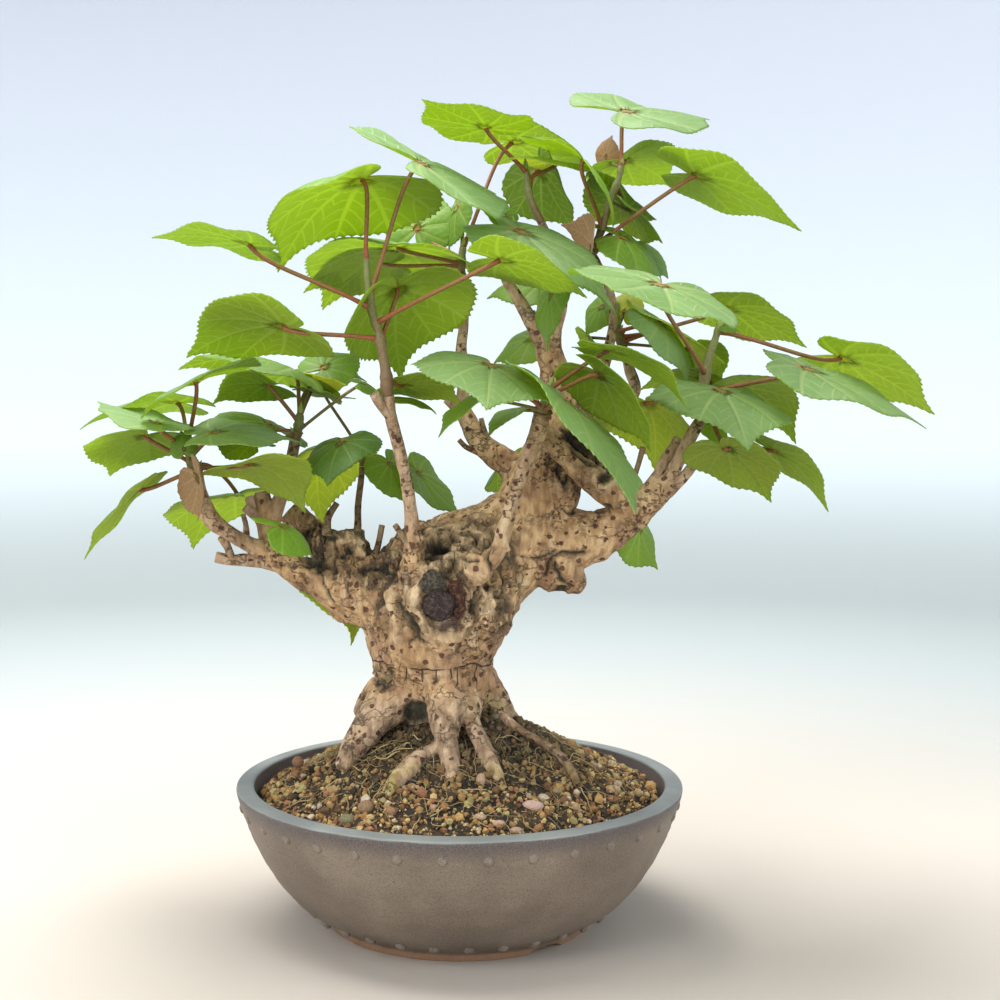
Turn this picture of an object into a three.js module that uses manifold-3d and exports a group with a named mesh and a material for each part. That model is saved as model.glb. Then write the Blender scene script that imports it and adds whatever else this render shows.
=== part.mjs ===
// Sea hibiscus bonsai in a round stoneware bowl. Millimetres, +Z up, built round the centre of the
// bowl's foot and then moved sideways, so that the origin lies under the middle of the whole part. The
// front looks along +Y. The tree is one piece of wood with its roots, and each leafy shoot is one more.
import * as THREE from "three";
import { mergeVertices } from "three/addons/utils/BufferGeometryUtils.js";
import Module from "manifold-3d";

const wasm = await Module();
wasm.setup();

// Driving dimensions
const rimRadius = 112;
const potHeight = 69.2;
const footRadius = 66;
const footHeight = 3.2;
const lipWidth = 8.7;
const lipHeight = 4.6;
const wall = 7.5;
const floorTop = 9;
const drainRadius = 9;
const netThickness = 1.2;
const netClear = 30;
const upperStuds = 34;
const firstUpperStud = -1.639;
const lowerStuds = 30;
const firstLowerStud = -1.515;
const studRadius = 2.2;
const studHeight = 1.4;
const soilRim = 63.2;
const moundHeight = 50;
const moundRadius = 99;
const seatGap = 0.3;
const bladeThickness = 0.8;
const petioleRadius = 0.95;
const largeLeaf = 46;

// The front view in which places on the tree are read: an eye on the level, at this distance in front
// of the bowl's axis and this height over its foot, seeing `focal` pixels for one unit of slope.
const front = { distance: 768, eyeHeight: 259, focal: 1515, horizon: 403, centre: 459.5 };

// A point from its place in the front view, in pixels, and its depth behind the bowl's axis.
function place([px, py, depth]) {
  const scale = (front.distance + depth) / front.focal;
  return new THREE.Vector3(
    (px - front.centre) * scale,
    depth,
    front.eyeHeight - (py - front.horizon) * scale,
  );
}

// Solids

function solid(geometry) {
  const bare = geometry.clone();
  bare.deleteAttribute("normal");
  bare.deleteAttribute("uv");
  const merged = mergeVertices(bare, 1e-4);
  return new wasm.Manifold(
    new wasm.Mesh({
      numProp: 3,
      vertProperties: new Float32Array(merged.attributes.position.array),
      triVerts: new Uint32Array(merged.index.array),
    }),
  );
}

function geometryOf(body) {
  const mesh = body.getMesh();
  const points = new Float32Array(mesh.numVert * 3);
  for (let i = 0; i < mesh.numVert; i++) {
    points.set(mesh.vertProperties.subarray(i * mesh.numProp, i * mesh.numProp + 3), i * 3);
  }
  const geometry = new THREE.BufferGeometry();
  geometry.setAttribute("position", new THREE.BufferAttribute(points, 3));
  geometry.setIndex(new THREE.BufferAttribute(mesh.triVerts, 1));
  geometry.computeVertexNormals();
  return geometry;
}

const union = (bodies, fine = 0.08) => bodies.reduce((joined, body) => joined.add(body)).simplify(fine);

// A closed tube along points, with a radius at each, whose ends face startAlong and endAlong. It is a
// cylinder whose rings are carried along the curve, and whose radius swells by `gnarl` in a slow twist.
function tube(points, radii, { sides = 6, startAlong, endAlong, gnarl = 0, phase = 0 } = {}) {
  const curve = new THREE.CatmullRomCurve3(points, false, "centripetal");
  const rings = points.length - 1;
  const frames = [];
  let normal = new THREE.Vector3();
  for (let i = 0; i <= rings; i++) {
    const t = i / rings;
    const along = curve.getTangent(t).normalize();
    if (i === 0 && startAlong) along.copy(startAlong);
    if (i === rings && endAlong) along.copy(endAlong);
    if (i === 0) normal.set(0, 1, 0).cross(along);
    if (normal.length() < 0.2) normal.set(1, 0, 0);
    normal.addScaledVector(along, -normal.dot(along)).normalize();
    const side = new THREE.Vector3().crossVectors(along, normal);
    frames.push({ centre: curve.getPoint(t), normal: normal.clone(), side, radius: radii[i] });
  }
  const geometry = new THREE.CylinderGeometry(1, 1, 1, sides, rings);
  const position = geometry.attributes.position;
  const point = new THREE.Vector3();
  for (let i = 0; i < position.count; i++) {
    point.fromBufferAttribute(position, i);
    const ring = Math.round((point.y + 0.5) * rings);
    const { centre, normal: across, side, radius } = frames[ring];
    const turn = Math.atan2(point.x, point.z);
    const twist = Math.sin(2 * turn + 1.7 * ring + phase) + 0.7 * Math.sin(3 * turn - 2.3 * ring);
    const swell = 1 + gnarl * twist;
    const reach = radius * swell;
    const placed = centre
      .clone()
      .addScaledVector(side, point.x * reach)
      .addScaledVector(across, point.z * reach);
    position.setXYZ(i, placed.x, placed.y, placed.z);
  }
  return solid(geometry);
}

// The bowl

const turnSteps = 34;
const wallProfile = [
  [67, 4.2],
  [82, 13.6],
  [94.5, 28],
  [103, 43],
  [rimRadius - 1.7, potHeight - lipHeight - 1.2],
];

function bowlBody() {
  const inside = wallProfile.slice(1).map(([r, z]) => [r - wall, z + 1.5]);
  const lipInner = rimRadius - lipWidth;
  const outline = [
    [drainRadius, footHeight + 0.6],
    [footRadius - 8, footHeight + 0.6],
    [footRadius - 7, 0],
    [footRadius, 0],
    ...wallProfile,
    [rimRadius, potHeight - 1.4],
    [rimRadius - 1.2, potHeight - 0.4],
    [lipInner + 0.8, potHeight],
    [lipInner, potHeight - 1],
    ...inside.reverse(),
    [netClear, floorTop],
    [drainRadius, floorTop],
  ];
  outline.push(outline[0]);
  const points = outline.map(([r, z]) => new THREE.Vector2(r, z));
  const geometry = new THREE.LatheGeometry(points, turnSteps).rotateX(Math.PI / 2);
  return solid(geometry);
}

// Half-round studs in a ring on the wall, where its radius is `radius`, leaning as the wall does there.
function studs({ count, first, radius, height, lean }) {
  const made = [];
  for (let i = 0; i < count; i++) {
    const turn = first + (i / count) * 2 * Math.PI;
    const geometry = new THREE.CylinderGeometry(0, studRadius, studHeight + 2, 4)
      .translate(0, (studHeight - 2) / 2, 0)
      .rotateZ(-Math.PI / 2)
      .rotateY(lean)
      .translate(radius, 0, height)
      .rotateZ(turn);
    made.push(solid(geometry));
  }
  return made;
}

// Three low arches through the foot ring, for air and run-off.
function footArches() {
  const arches = [];
  for (let i = 0; i < 3; i++) {
    const geometry = new THREE.BoxGeometry(20, 30, 2 * 2.4)
      .translate(footRadius - 4, 0, 0)
      .rotateZ(-0.9 + (i * 2 * Math.PI) / 3);
    arches.push(solid(geometry));
  }
  return arches;
}

function bowl() {
  const upper = { count: upperStuds, first: firstUpperStud, radius: 108.4, height: 59, lean: 0.22 };
  const lower = { count: lowerStuds, first: firstLowerStud, radius: 76.2, height: 9.4, lean: 0.72 };
  const body = union([bowlBody(), ...studs(upper), ...studs(lower)]);
  return body.subtract(union(footArches()));
}

// A square of plastic net that keeps the soil out of the drain hole.
function drainNet() {
  const side = 32;
  const hole = 5.4;
  const pitch = 7.6;
  const height = floorTop + seatGap + netThickness / 2;
  const windows = [];
  for (const x of [-1.5, -0.5, 0.5, 1.5]) {
    for (const y of [-1.5, -0.5, 0.5, 1.5]) {
      windows.push(solid(new THREE.BoxGeometry(hole, hole, 4).translate(x * pitch, y * pitch, height)));
    }
  }
  const sheet = new THREE.BoxGeometry(side, side, netThickness).translate(0, 0, height);
  return solid(sheet).subtract(union(windows));
}

// The soil: a lathe that fills the bowl, and whose top is a low cone with waves for clods.

const moundTop = (r) => soilRim + moundHeight * (1 - r / moundRadius) ** 1.05;

function soilBody() {
  const inside = wallProfile.slice(1).map(([r, z]) => [r - wall - 2 * seatGap, z + 1.5]);
  const sideways = inside.filter(([, z]) => z < soilRim - 4);
  const rings = [98.5, 74, 54, 36];
  const outline = [
    [0, floorTop + netThickness + 2 * seatGap],
    [24, floorTop + netThickness + 2 * seatGap],
    [25, floorTop + seatGap],
    ...sideways,
    [rings[0] + 2, soilRim - 2],
    ...rings.map((r) => [r, moundTop(r)]),
    [0, moundTop(0)],
  ];
  const geometry = new THREE.LatheGeometry(outline.map(([r, z]) => new THREE.Vector2(r, z)), turnSteps);
  geometry.rotateX(Math.PI / 2);
  const position = geometry.attributes.position;
  for (let i = 0; i < position.count; i++) {
    const [x, y, z] = [position.getX(i), position.getY(i), position.getZ(i)];
    const r = Math.hypot(x, y);
    if (z < soilRim - 1 || r < 8) continue;
    const clod = Math.sin(x * 0.31 + 1) * Math.cos(y * 0.27 - 2) + 0.8 * Math.sin(x * 0.11 - y * 0.17);
    position.setZ(i, z + 0.9 * clod);
  }
  return solid(geometry);
}

// The wood, each limb as points [x px, y px, depth, radius], from where it leaves its parent to its end.

const roots = {
  root_left: [
    [411, 686, -4, 14], [393, 699, -12, 11.2], [377, 716, -17, 9], [364, 733, -22, 8],
    [352, 750, -27, 6.2], [341, 768, -34, 3.4],
  ],
  root_left_back: [[402, 686, 8, 12], [383, 694, 10, 9.4], [370, 704, 10, 6.6], [361, 716, 10, 4.4]],
  root_front: [
    [452, 690, -12, 14], [448, 703, -24, 11.6], [446, 718, -31, 8.4], [447, 738, -39, 5.4],
    [450, 758, -46, 4.7], [451, 774, -52, 4.3], [451, 788, -59, 3],
  ],
  root_front_right: [
    [464, 694, -12, 10], [468, 708, -23, 7], [471, 722, -30, 4.5], [480, 740, -38, 4.1],
    [489, 760, -46, 4.2], [498, 780, -54, 3.4], [506, 794, -61, 2.4],
  ],
  root_front_left: [
    [447, 742, -38, 3.2], [432, 751, -40, 3.3], [419, 759, -45, 4.3], [408, 769, -51, 4.7],
    [396, 782, -57, 4.2], [385, 796, -63, 2.6],
  ],
  root_right: [[468, 686, 2, 15], [486, 698, 2, 11], [497, 710, 0, 8.4], [507, 722, -4, 5.5]],
  root_right_low: [
    [498, 714, -8, 3], [522, 731, -22, 1.8], [546, 745, -30, 1.9], [561, 757, -36, 2.2],
    [570, 769, -42, 2.1], [578, 784, -50, 1.6],
  ],
  root_back: [[450, 700, 22, 15], [470, 722, 40, 9], [485, 745, 60, 4.5]],
  root_right_back: [[470, 695, 14, 13], [500, 717, 26, 8], [530, 742, 40, 4]],
};

const limbs = {
  trunk: [
    [452, 735, 16, 11], [449, 714, 12, 16], [442, 694, 5, 26], [438, 675, 1, 28.6], [438, 658, 0, 28.2],
    [433, 641, 0, 32], [435, 616, 0, 36], [442, 588, 0, 35.5], [460, 562, 2, 29],
  ],
  burl_front: [[440, 600, -20, 21], [440, 602, -29, 15], [440, 603, -36, 8]],
  burl_right: [[478, 600, -12, 19], [484, 612, -16, 15], [486, 628, -14, 11]],
  burl_top: [[420, 580, 4, 22], [455, 552, 8, 20], [480, 540, 10, 17]],
  limb_left: [
    [430, 600, 0, 27], [385, 592, 0, 20.5], [350, 586, -2, 15], [322, 578, -4, 10.8],
    [298, 571, -6, 7.8], [272, 554, -9, 5.4], [250, 545, -11, 4.1], [232, 535, -14, 3.8],
    [215, 523, -16, 4], [204, 507, -18, 4.3], [200, 492, -19, 3.5], [198, 476, -20, 2.8],
  ],
  limb_left_low: [
    [290, 568, -4, 5], [265, 562, -6, 3.5], [246, 560, -7, 3.1], [230, 560, -8, 2.8],
    [216, 557, -8, 2.9],
  ],
  limb_left_spur: [[231, 558, -8, 2.3], [228, 548, -10, 2], [222, 537, -13, 2.3]],
  twig_left: [[246, 540, -12, 2.2], [246, 526, -13, 1.4], [243, 514, -13, 1.2]],
  stump_left: [[354, 596, 4, 14], [346, 574, 4, 16.2], [341, 556, 5, 16.2], [338, 538, 6, 14]],
  stump_left_back: [[345, 562, 20, 12], [322, 543, 24, 9], [303, 524, 25, 7.2], [290, 512, 25, 6.6]],
  twig_stump: [[326, 540, 12, 2.6], [328, 518, 14, 2], [337, 503, 16, 1.7]],
  riser_left: [
    [272, 552, -2, 6], [268, 534, 2, 5.2], [266, 516, 4, 5.7], [263, 503, 5, 4.8], [262, 493, 5, 3.9],
  ],
  riser_left_stub: [[260, 516, 4, 3.8], [252, 506, 3, 3], [249, 497, 2, 2.5]],
  riser_left_knob: [[260, 518, 2, 3.4], [251, 512, 0, 2.6], [245, 507, -1, 2.2]],
  riser_left_stem: [
    [269, 530, 4, 5], [275, 512, 3, 4.3], [281, 496, 2, 3.5], [288, 474, 0, 3.1], [292, 456, -1, 2.9],
    [295, 441, -2, 2.8],
  ],
  stem_middle: [
    [350, 550, 12, 3], [357, 532, 18, 2.1], [358, 505, 20, 1.8], [361, 480, 20, 1.7],
    [362, 467, 20, 1.6],
  ],
  twig_fork: [[370, 566, 4, 3.4], [377, 549, 2, 1.7], [382, 525, 2, 1.6]],
  stem_front: [
    [412, 590, -22, 10], [413, 566, -32, 6.4], [413, 545, -36, 4.8], [411, 515, -39, 3.3],
    [406, 480, -42, 3], [398, 445, -45, 2.9], [391, 418, -47, 3.1], [388, 396, -48, 2.9],
  ],
  twig_front: [[413, 548, -36, 3], [404, 538, -40, 1.6], [395, 525, -42, 1.4]],
  stem_front_stub: [[391, 418, -47, 2.6], [382, 407, -50, 2.4], [374, 394, -53, 2.3]],
  stem_right: [
    [458, 572, -24, 9], [482, 566, -34, 5.6], [498, 550, -39, 4.2], [506, 528, -42, 3.6],
    [512, 503, -44, 3.3], [520, 478, -45, 3.3], [530, 452, -45, 3.5], [538, 432, -44, 4.3],
    [541, 418, -43, 4.2],
  ],
  limb_right: [
    [465, 578, 2, 30], [500, 548, 2, 24], [528, 515, 2, 19], [545, 482, 3, 19], [558, 455, 4, 17.5],
    [564, 428, 5, 13.5], [560, 398, 4, 10], [554, 372, 2, 8], [549, 352, 0, 6.6],
  ],
  ridge_front: [
    [543, 434, -11, 4.6], [562, 452, -15, 5.4], [584, 472, -17, 6.4], [602, 487, -15, 7.2],
    [622, 500, -12, 7.4], [640, 504, -9, 6.4],
  ],
  ridge_back: [[566, 426, 2, 8], [586, 450, 0, 8.4], [606, 474, -2, 9], [628, 496, -5, 9]],
  limb_right_low: [
    [512, 558, 2, 18], [540, 547, 0, 16], [570, 541, -2, 15], [598, 535, -4, 12.5], [622, 521, -6, 9.4],
    [640, 508, -8, 7.6], [657, 495, -10, 5.6], [669, 480, -11, 4], [678, 462, -12, 3.2],
    [687, 444, -14, 3.2], [694, 431, -15, 3.2], [698, 424, -16, 3],
  ],
  knob_right: [[556, 560, -2, 13], [561, 575, -3, 10.6], [571, 581, -4, 7.6], [571, 594, -4, 2.8]],
  knob_right_low: [[552, 562, -4, 11], [547, 576, -5, 7.6], [544, 583, -5, 4.4]],
  stem_right_inner: [
    [650, 490, -8, 4], [659, 474, -7, 3.2], [665, 460, -6, 3], [672, 450, -5, 2.7], [678, 438, -4, 2.3],
  ],
  stub_right_outer: [
    [662, 494, -10, 4.4], [676, 484, -11, 3.1], [687, 473, -12, 2.8], [696, 460, -13, 2.4],
  ],
  twig_right: [[630, 492, -8, 2.4], [634, 478, -7, 1.5], [639, 462, -7, 1.3], [643, 447, -8, 1.5]],
  limb_middle: [
    [530, 490, 8, 10], [514, 468, 12, 8], [495, 455, 15, 6.4], [480, 442, 17, 5.3], [467, 420, 19, 4.6],
    [461, 405, 20, 3.9],
  ],
  limb_middle_stub: [[463, 412, 20, 3.8], [454, 404, 19, 3.4], [447, 398, 19, 3]],
  stem_middle_back: [
    [462, 412, 20, 3.8], [463, 385, 22, 3.2], [461, 350, 25, 3], [464, 320, 27, 2.5],
    [463, 290, 29, 2.2], [462, 273, 30, 2],
  ],
  twig_middle: [[490, 448, 15, 2.2], [484, 430, 14, 1.5], [481, 418, 14, 1.3]],
  twig_middle_low: [[478, 452, 15, 2], [466, 447, 12, 1.4], [459, 440, 11, 1.3]],
  stem_crown_left: [
    [549, 358, 0, 5.4], [540, 338, -2, 4.2], [528, 316, -4, 3.6], [516, 295, -6, 3.1],
    [506, 278, -8, 2.8], [506, 262, -11, 2.3], [510, 248, -14, 2],
  ],
  stub_crown: [[539, 335, -2, 3.2], [533, 322, -4, 2.7], [531, 311, -5, 2.2]],
  stem_crown: [
    [552, 352, 2, 4.6], [556, 328, 3, 3], [563, 305, 4, 2.4], [562, 275, 5, 2.2], [552, 245, 2, 2.1],
    [541, 222, -2, 2.1],
  ],
  stem_crown_right: [
    [564, 412, 8, 6], [590, 388, 16, 3.8], [603, 368, 18, 3.1], [609, 346, 18, 2.8], [613, 325, 16, 2.5],
    [612, 300, 13, 2.2], [603, 276, 8, 2.1], [595, 259, 5, 2.1],
  ],
  stem_right_back: [
    [574, 424, 10, 6], [612, 412, 19, 3.8], [635, 391, 25, 3.1], [629, 368, 27, 2.8],
    [624, 350, 28, 2.3],
  ],
};

function limbSolid(name, path, grow) {
  const thick = path[0][3] > 12;
  return tube(path.map(place), path.map((p) => p[3] + grow), {
    sides: thick ? 8 : path[0][3] > 5 ? 6 : 4,
    gnarl: thick ? 0.035 : 0.02,
    phase: name.length,
    endAlong: endDirection(path),
  });
}

function endDirection(path) {
  const [before, last] = path.slice(-2).map(place);
  return last.sub(before).normalize();
}

function woodSolids(parts, grow) {
  return Object.entries(parts).map(([name, path]) => limbSolid(name, path, grow));
}

// A leaf blade: a heart-shaped outline in polar form round the joint, in shares of the midrib's length,
// as [degrees from the tip, reach], drawn up between joint and tip and let down at the sides and lobes.

const outline = [
  [0, 1], [5, 0.87], [11, 0.8], [27, 0.73], [47, 0.665], [69, 0.62], [90, 0.595], [110, 0.54],
  [131, 0.45], [150, 0.34], [164, 0.2], [180, 0.05],
];

function reachAt(degrees) {
  const turn = Math.abs(degrees);
  const next = Math.max(outline.findIndex(([d]) => d >= turn), 1);
  const [[d0, r0], [d1, r1]] = [outline[next - 1], outline[next]];
  return THREE.MathUtils.lerp(r0, r1, (turn - d0) / (d1 - d0));
}

function bladeFrame({ joint, tip, long, lean = 1, show, sway = 0 }) {
  const origin = place(joint);
  const flat = place([...tip, joint[2]]);
  const away = Math.sqrt(Math.max(long ** 2 - origin.distanceToSquared(flat), 0));
  const along = place([...tip, joint[2] + lean * away]).sub(origin);
  const length = along.length();
  along.normalize();
  const top = new THREE.Vector3(sway, -show, 1);
  top.addScaledVector(along, -top.dot(along)).normalize();
  const side = new THREE.Vector3().crossVectors(along, top);
  return { origin, along, side, top, length };
}

// Corner angles from the tip, closer together at the tip and at the sinus behind the joint. An even
// number of them lets the inner ring take every second one.
const largeTurns = [0, 12, 30, 54, 82, 114, 148, 180, 212, 246, 278, 306, 330, 348];
const smallTurns = [0, 18, 46, 82, 130, 160, 180, 200, 230, 278, 314, 342];

function blade(leaf) {
  const { origin, along, side, top, length } = bladeFrame(leaf);
  const { arch = 0.1, fall = 0.35, wide = 1 } = leaf;
  const ringed = leaf.long >= largeLeaf;
  const turns = ringed ? largeTurns : smallTurns;
  const points = [];
  const corner = (u, v) => {
    const rise = length * (4 * arch * u * (1 - u) - fall * v * v);
    const middle = origin.clone().addScaledVector(along, u * length).addScaledVector(side, v * length);
    for (const half of [0.5, -0.5]) {
      points.push(middle.clone().addScaledVector(top, rise + half * bladeThickness));
    }
  };
  corner(0, 0);
  const ring = (degrees, share, tooth) => {
    const turn = THREE.MathUtils.degToRad(degrees);
    const folded = degrees > 180 ? degrees - 360 : degrees;
    const reach = share * reachAt(folded) * (1 + tooth);
    corner(reach * Math.cos(turn), reach * Math.sin(turn) * wide);
  };
  const inner = ringed ? turns.filter((_, i) => i % 2 === 0) : [];
  inner.forEach((degrees) => ring(degrees, 0.55, 0));
  turns.forEach((degrees, i) => {
    const nearTipOrSinus = i === 0 || degrees === 180;
    ring(degrees, 1, nearTipOrSinus ? 0 : i % 2 ? 0.028 : -0.028);
  });
  const faces = [];
  const facet = (a, b, c) => faces.push([a, b, c]);
  const innerAt = (i) => 1 + (i % inner.length);
  const outerAt = (i) => 1 + inner.length + (i % turns.length);
  if (ringed) {
    inner.forEach((_, i) => {
      facet(0, innerAt(i), innerAt(i + 1));
      facet(innerAt(i), outerAt(2 * i), outerAt(2 * i + 1));
      facet(innerAt(i), outerAt(2 * i + 1), innerAt(i + 1));
      facet(innerAt(i + 1), outerAt(2 * i + 1), outerAt(2 * i + 2));
    });
  } else {
    turns.forEach((_, i) => facet(0, outerAt(i), outerAt(i + 1)));
  }
  const triangles = [];
  for (const [a, b, c] of faces) triangles.push(2 * a, 2 * c, 2 * b, 2 * a + 1, 2 * b + 1, 2 * c + 1);
  turns.forEach((_, i) => {
    const [a, b] = [2 * outerAt(i), 2 * outerAt(i + 1)];
    triangles.push(a, b, a + 1, b, b + 1, a + 1);
  });
  const geometry = new THREE.BufferGeometry().setFromPoints(points).setIndex(triangles);
  return solid(geometry);
}

// A petiole from its place on the stem to the underside of the joint, rising by `rise` of its length on
// the way.
function petiole(leaf, root) {
  const { origin, along, top } = bladeFrame(leaf);
  const reach = origin.distanceTo(root);
  const knee = origin.clone().addScaledVector(top, -0.16 * reach).addScaledVector(along, -0.1 * reach);
  const swing = root.clone().lerp(origin, 0.4);
  swing.z += (leaf.rise ?? 0.02) * reach;
  const curve = new THREE.CubicBezierCurve3(root, swing, knee, origin);
  const steps = reach > 30 ? 3 : 2;
  const radius = petioleRadius * (leaf.long < 30 ? 0.8 : 1);
  const points = curve.getPoints(steps);
  const arrival = points.at(-1).clone().sub(points.at(-2));
  const endAlong = arrival.dot(top) < 0 ? top.clone().negate() : top;
  return tube(points, points.map(() => radius), { sides: leaf.long < largeLeaf ? 3 : 4, endAlong });
}

// The leafy shoots. Each sits on the end of the limb named `on`; its stem runs on through more points,
// and a leaf leaves the stem at the share `at`. A joint is [x px, y px, depth], a tip [x px, y px],
// `long` the midrib in mm, `lean` -1 when the tip is nearer than the joint, `show` how far the upper
// face turns to the front, or away from it below 0, and `sway` how far it turns to the right.

const shoots = {
  shoot_front_left: {
    on: "stem_front",
    stem: [
      [386, 374, -49, 2.5], [382, 350, -50, 2.3], [378, 330, -50, 2], [372, 312, -50, 1.9],
      [370, 296, -50, 1.8], [367, 275, -50, 1.5], [366, 256, -49, 1.2],
    ],
    leaves: [
      {
        joint: [419.4, 163, -54], tip: [495.4, 193], long: 68.6, show: 0.04, sway: 0.77, wide: 1.07,
        fall: 0.1, arch: 0.01, at: 0.72,
      },
      {
        joint: [362, 180, -48], tip: [276, 269.8], long: 69.7, show: -0.24, sway: -0.19, fall: 0.53,
        at: 0.97,
      },
      {
        joint: [249.2, 244.2, -56], tip: [151.2, 237.6], long: 42.6, show: -0.17, sway: -0.14,
        wide: 0.89, fall: 0.01, arch: 0.05, at: 0.6,
      },
      {
        joint: [283.4, 326.4, -62], tip: [185.8, 358.7], long: 51.1, show: -0.59, sway: -0.12, fall: 0,
        at: 0.36,
      },
      {
        joint: [397, 289.4, -34], tip: [401.7, 379.6], long: 56.3, show: 0.07, sway: -0.28, wide: 1.02,
        fall: 1, at: 0.34,
      },
      {
        joint: [500.3, 259.9, -82], tip: [585.8, 300.7], long: 43.2, show: -0.29, sway: -0.48, lean: -1,
        wide: 1.02, fall: 0, arch: 0.08, at: 0.48,
      },
      {
        joint: [402.3, 385, -30], tip: [463, 404.4], long: 34.6, show: -0.21, sway: -0.21, wide: 0.93,
        fall: 0, arch: 0.07, at: 0.12,
      },
      {
        joint: [397, 399, -22], tip: [436.2, 415.7], long: 14.4, show: 0.17, sway: 0.36, lean: -1,
        wide: 0.8, fall: 0.12, arch: 0.13, at: 0.05,
      },
    ],
  },
  shoot_middle: {
    on: "stem_middle_back",
    stem: [[462, 262, 31, 1.8], [463, 247, 31, 1.3]],
    leaves: [
      {
        joint: [398, 247.3, 24], tip: [322.5, 313], long: 73.8, show: -0.08, sway: 0.07, wide: 0.97,
        fall: 0.24, at: 0.3,
      },
      { joint: [380, 262, 52], tip: [303, 293], long: 42, show: -0.5, at: 0.1 },
      { joint: [458, 206, 36], tip: [450, 255], long: 34, show: 0.9, at: 0.9 },
      { joint: [417, 229, 40], tip: [440, 190], long: 30, show: 0.9, at: 0.6 },
      {
        joint: [512.9, 142.4, 50], tip: [586.8, 172.8], long: 44, show: -0.25, sway: 0.44, lean: -1,
        fall: 0, arch: 0.14, at: 0.95,
      },
    ],
  },
  shoot_crown_left: {
    on: "stem_crown_left",
    stem: [[513, 238, -16, 1.6], [513, 228, -17, 1.3]],
    leaves: [
      {
        joint: [518.6, 231.2, -34.5], tip: [616.9, 313.3], long: 63.7, show: 0.58, sway: 0.48, lean: -1,
        wide: 0.89, fall: 0.21, arch: 0.08, at: 0.5,
      },
      { joint: [505, 214, -12], tip: [480, 200], long: 16, show: 0.5, at: 0.95 },
    ],
  },
  shoot_crown: {
    on: "stem_crown",
    stem: [[534, 208, -4, 1.9], [530, 198, -5, 1.8], [527, 182, -5, 1.5], [526, 170, -5, 1.2]],
    leaves: [
      {
        joint: [486, 127.8, -15], tip: [421.9, 100.3], long: 46.7, show: -0.95, sway: 0.89, lean: -1,
        wide: 1.08, fall: 0, arch: 0, at: 0.95,
      },
      {
        joint: [541, 171, 33], tip: [575.2, 231.2], long: 36.8, show: -0.35, sway: 0.16, wide: 1.11,
        fall: 0.86, arch: -0.04, at: 0.6,
      },
      {
        joint: [556, 162, 5], tip: [507, 159], long: 35.6, show: 0.97, sway: -0.73, lean: -1, wide: 0.95,
        fall: 0.23, arch: 0.03, at: 0.8,
      },
    ],
  },
  shoot_top: {
    on: "stem_crown_right",
    stem: [
      [596, 245, 4, 1.9], [604, 222, 2, 1.8], [612, 195, 1, 1.7], [619, 178, 0, 1.5], [621, 166, 0, 1.2],
    ],
    leaves: [
      {
        joint: [625.8, 112, 0], tip: [708.2, 122.3], long: 53, show: 0.37, sway: 0.22, wide: 1.14,
        fall: 0, arch: 0.03, at: 0.97,
      },
      {
        joint: [583.7, 161, -17], tip: [595.1, 179.8], long: 53.3, show: 0.42, sway: 0.85, fall: 0.67,
        arch: 0, at: 0.35,
      },
      {
        joint: [625, 160.3, 22], tip: [672.1, 185.1], long: 40.4, show: -0.14, sway: -0.31, fall: 0.01,
        arch: 0.05, at: 0.9,
      },
      { joint: [606, 157, 26], tip: [612, 135], long: 12, show: 0.3, at: 0.96 },
      {
        joint: [628, 207, 25], tip: [588.9, 165], long: 34.3, show: -0.01, sway: 0.09, lean: -1,
        wide: 1.1, fall: 0.61, arch: -0.01, at: 0.7,
      },
      {
        joint: [630, 210, 14], tip: [661.9, 244.1], long: 26.4, show: -0.26, sway: 0.74, lean: -1,
        wide: 1.15, fall: 0.53, arch: 0.05, at: 0.55,
      },
      {
        joint: [696, 175.4, -15], tip: [802.2, 230.2], long: 61.9, show: -0.08, sway: 0.92, lean: -1,
        wide: 0.98, fall: 0, arch: 0.05, at: 0.2,
      },
      {
        joint: [591, 250, -8], tip: [562, 223.9], long: 24.9, show: -1.16, sway: 0.31, wide: 1.11,
        fall: 0, arch: 0.17, at: 0.05,
      },
      {
        joint: [620.7, 237.5, -3], tip: [661.5, 284.9], long: 35.2, show: 0.57, sway: 0.72, wide: 1.03,
        fall: 0.49, arch: 0.14, at: 0.2,
      },
      { joint: [640, 252, 12], tip: [668, 279], long: 20, show: 0.8, at: 0.1 },
    ],
  },
  shoot_right_back: {
    on: "stem_right_back",
    stem: [[621, 342, 28, 2], [619, 332, 27, 1.7], [619, 326, 27, 1.3]],
    leaves: [
      {
        joint: [727, 308, 22], tip: [806.2, 348.2], long: 46.6, show: -0.25, wide: 0.98, fall: 0.1,
        arch: 0.04, at: 0.3,
      },
      {
        joint: [660, 323, 2], tip: [686.2, 386.3], long: 36.7, show: 0.43, sway: 0.7, lean: -1,
        wide: 0.94, fall: 0.47, at: 0.7,
      },
      {
        joint: [668, 330, 24], tip: [723.2, 364.9], long: 50.3, show: 0.06, sway: 0.91, lean: -1,
        wide: 1.14, fall: 0.3, arch: 0.02, at: 0.5,
      },
      { joint: [698, 350, 30], tip: [722, 384], long: 24, show: -0.6, at: 0.1 },
      { joint: [603, 306, 34], tip: [586, 338], long: 20, show: 0.6, at: 0.95 },
      { joint: [624, 312, 32], tip: [636, 290], long: 16, show: 0.6, at: 0.95 },
      { joint: [590, 338, 40], tip: [592, 366], long: 18, show: 0.6, at: 0.4 },
    ],
  },
  shoot_right: {
    on: "limb_right_low",
    stem: [
      [701, 405, -16, 2.6], [703, 390, -16, 2.4], [708, 360, -15, 2.1], [715, 340, -14, 1.8],
      [719, 327, -14, 1.3],
    ],
    leaves: [
      {
        joint: [841, 358, -5], tip: [935.4, 412.9], long: 47.8, show: -0.31, sway: -0.21, wide: 0.98,
        fall: 0.22, arch: 0.05, at: 0.93,
      },
      {
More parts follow.
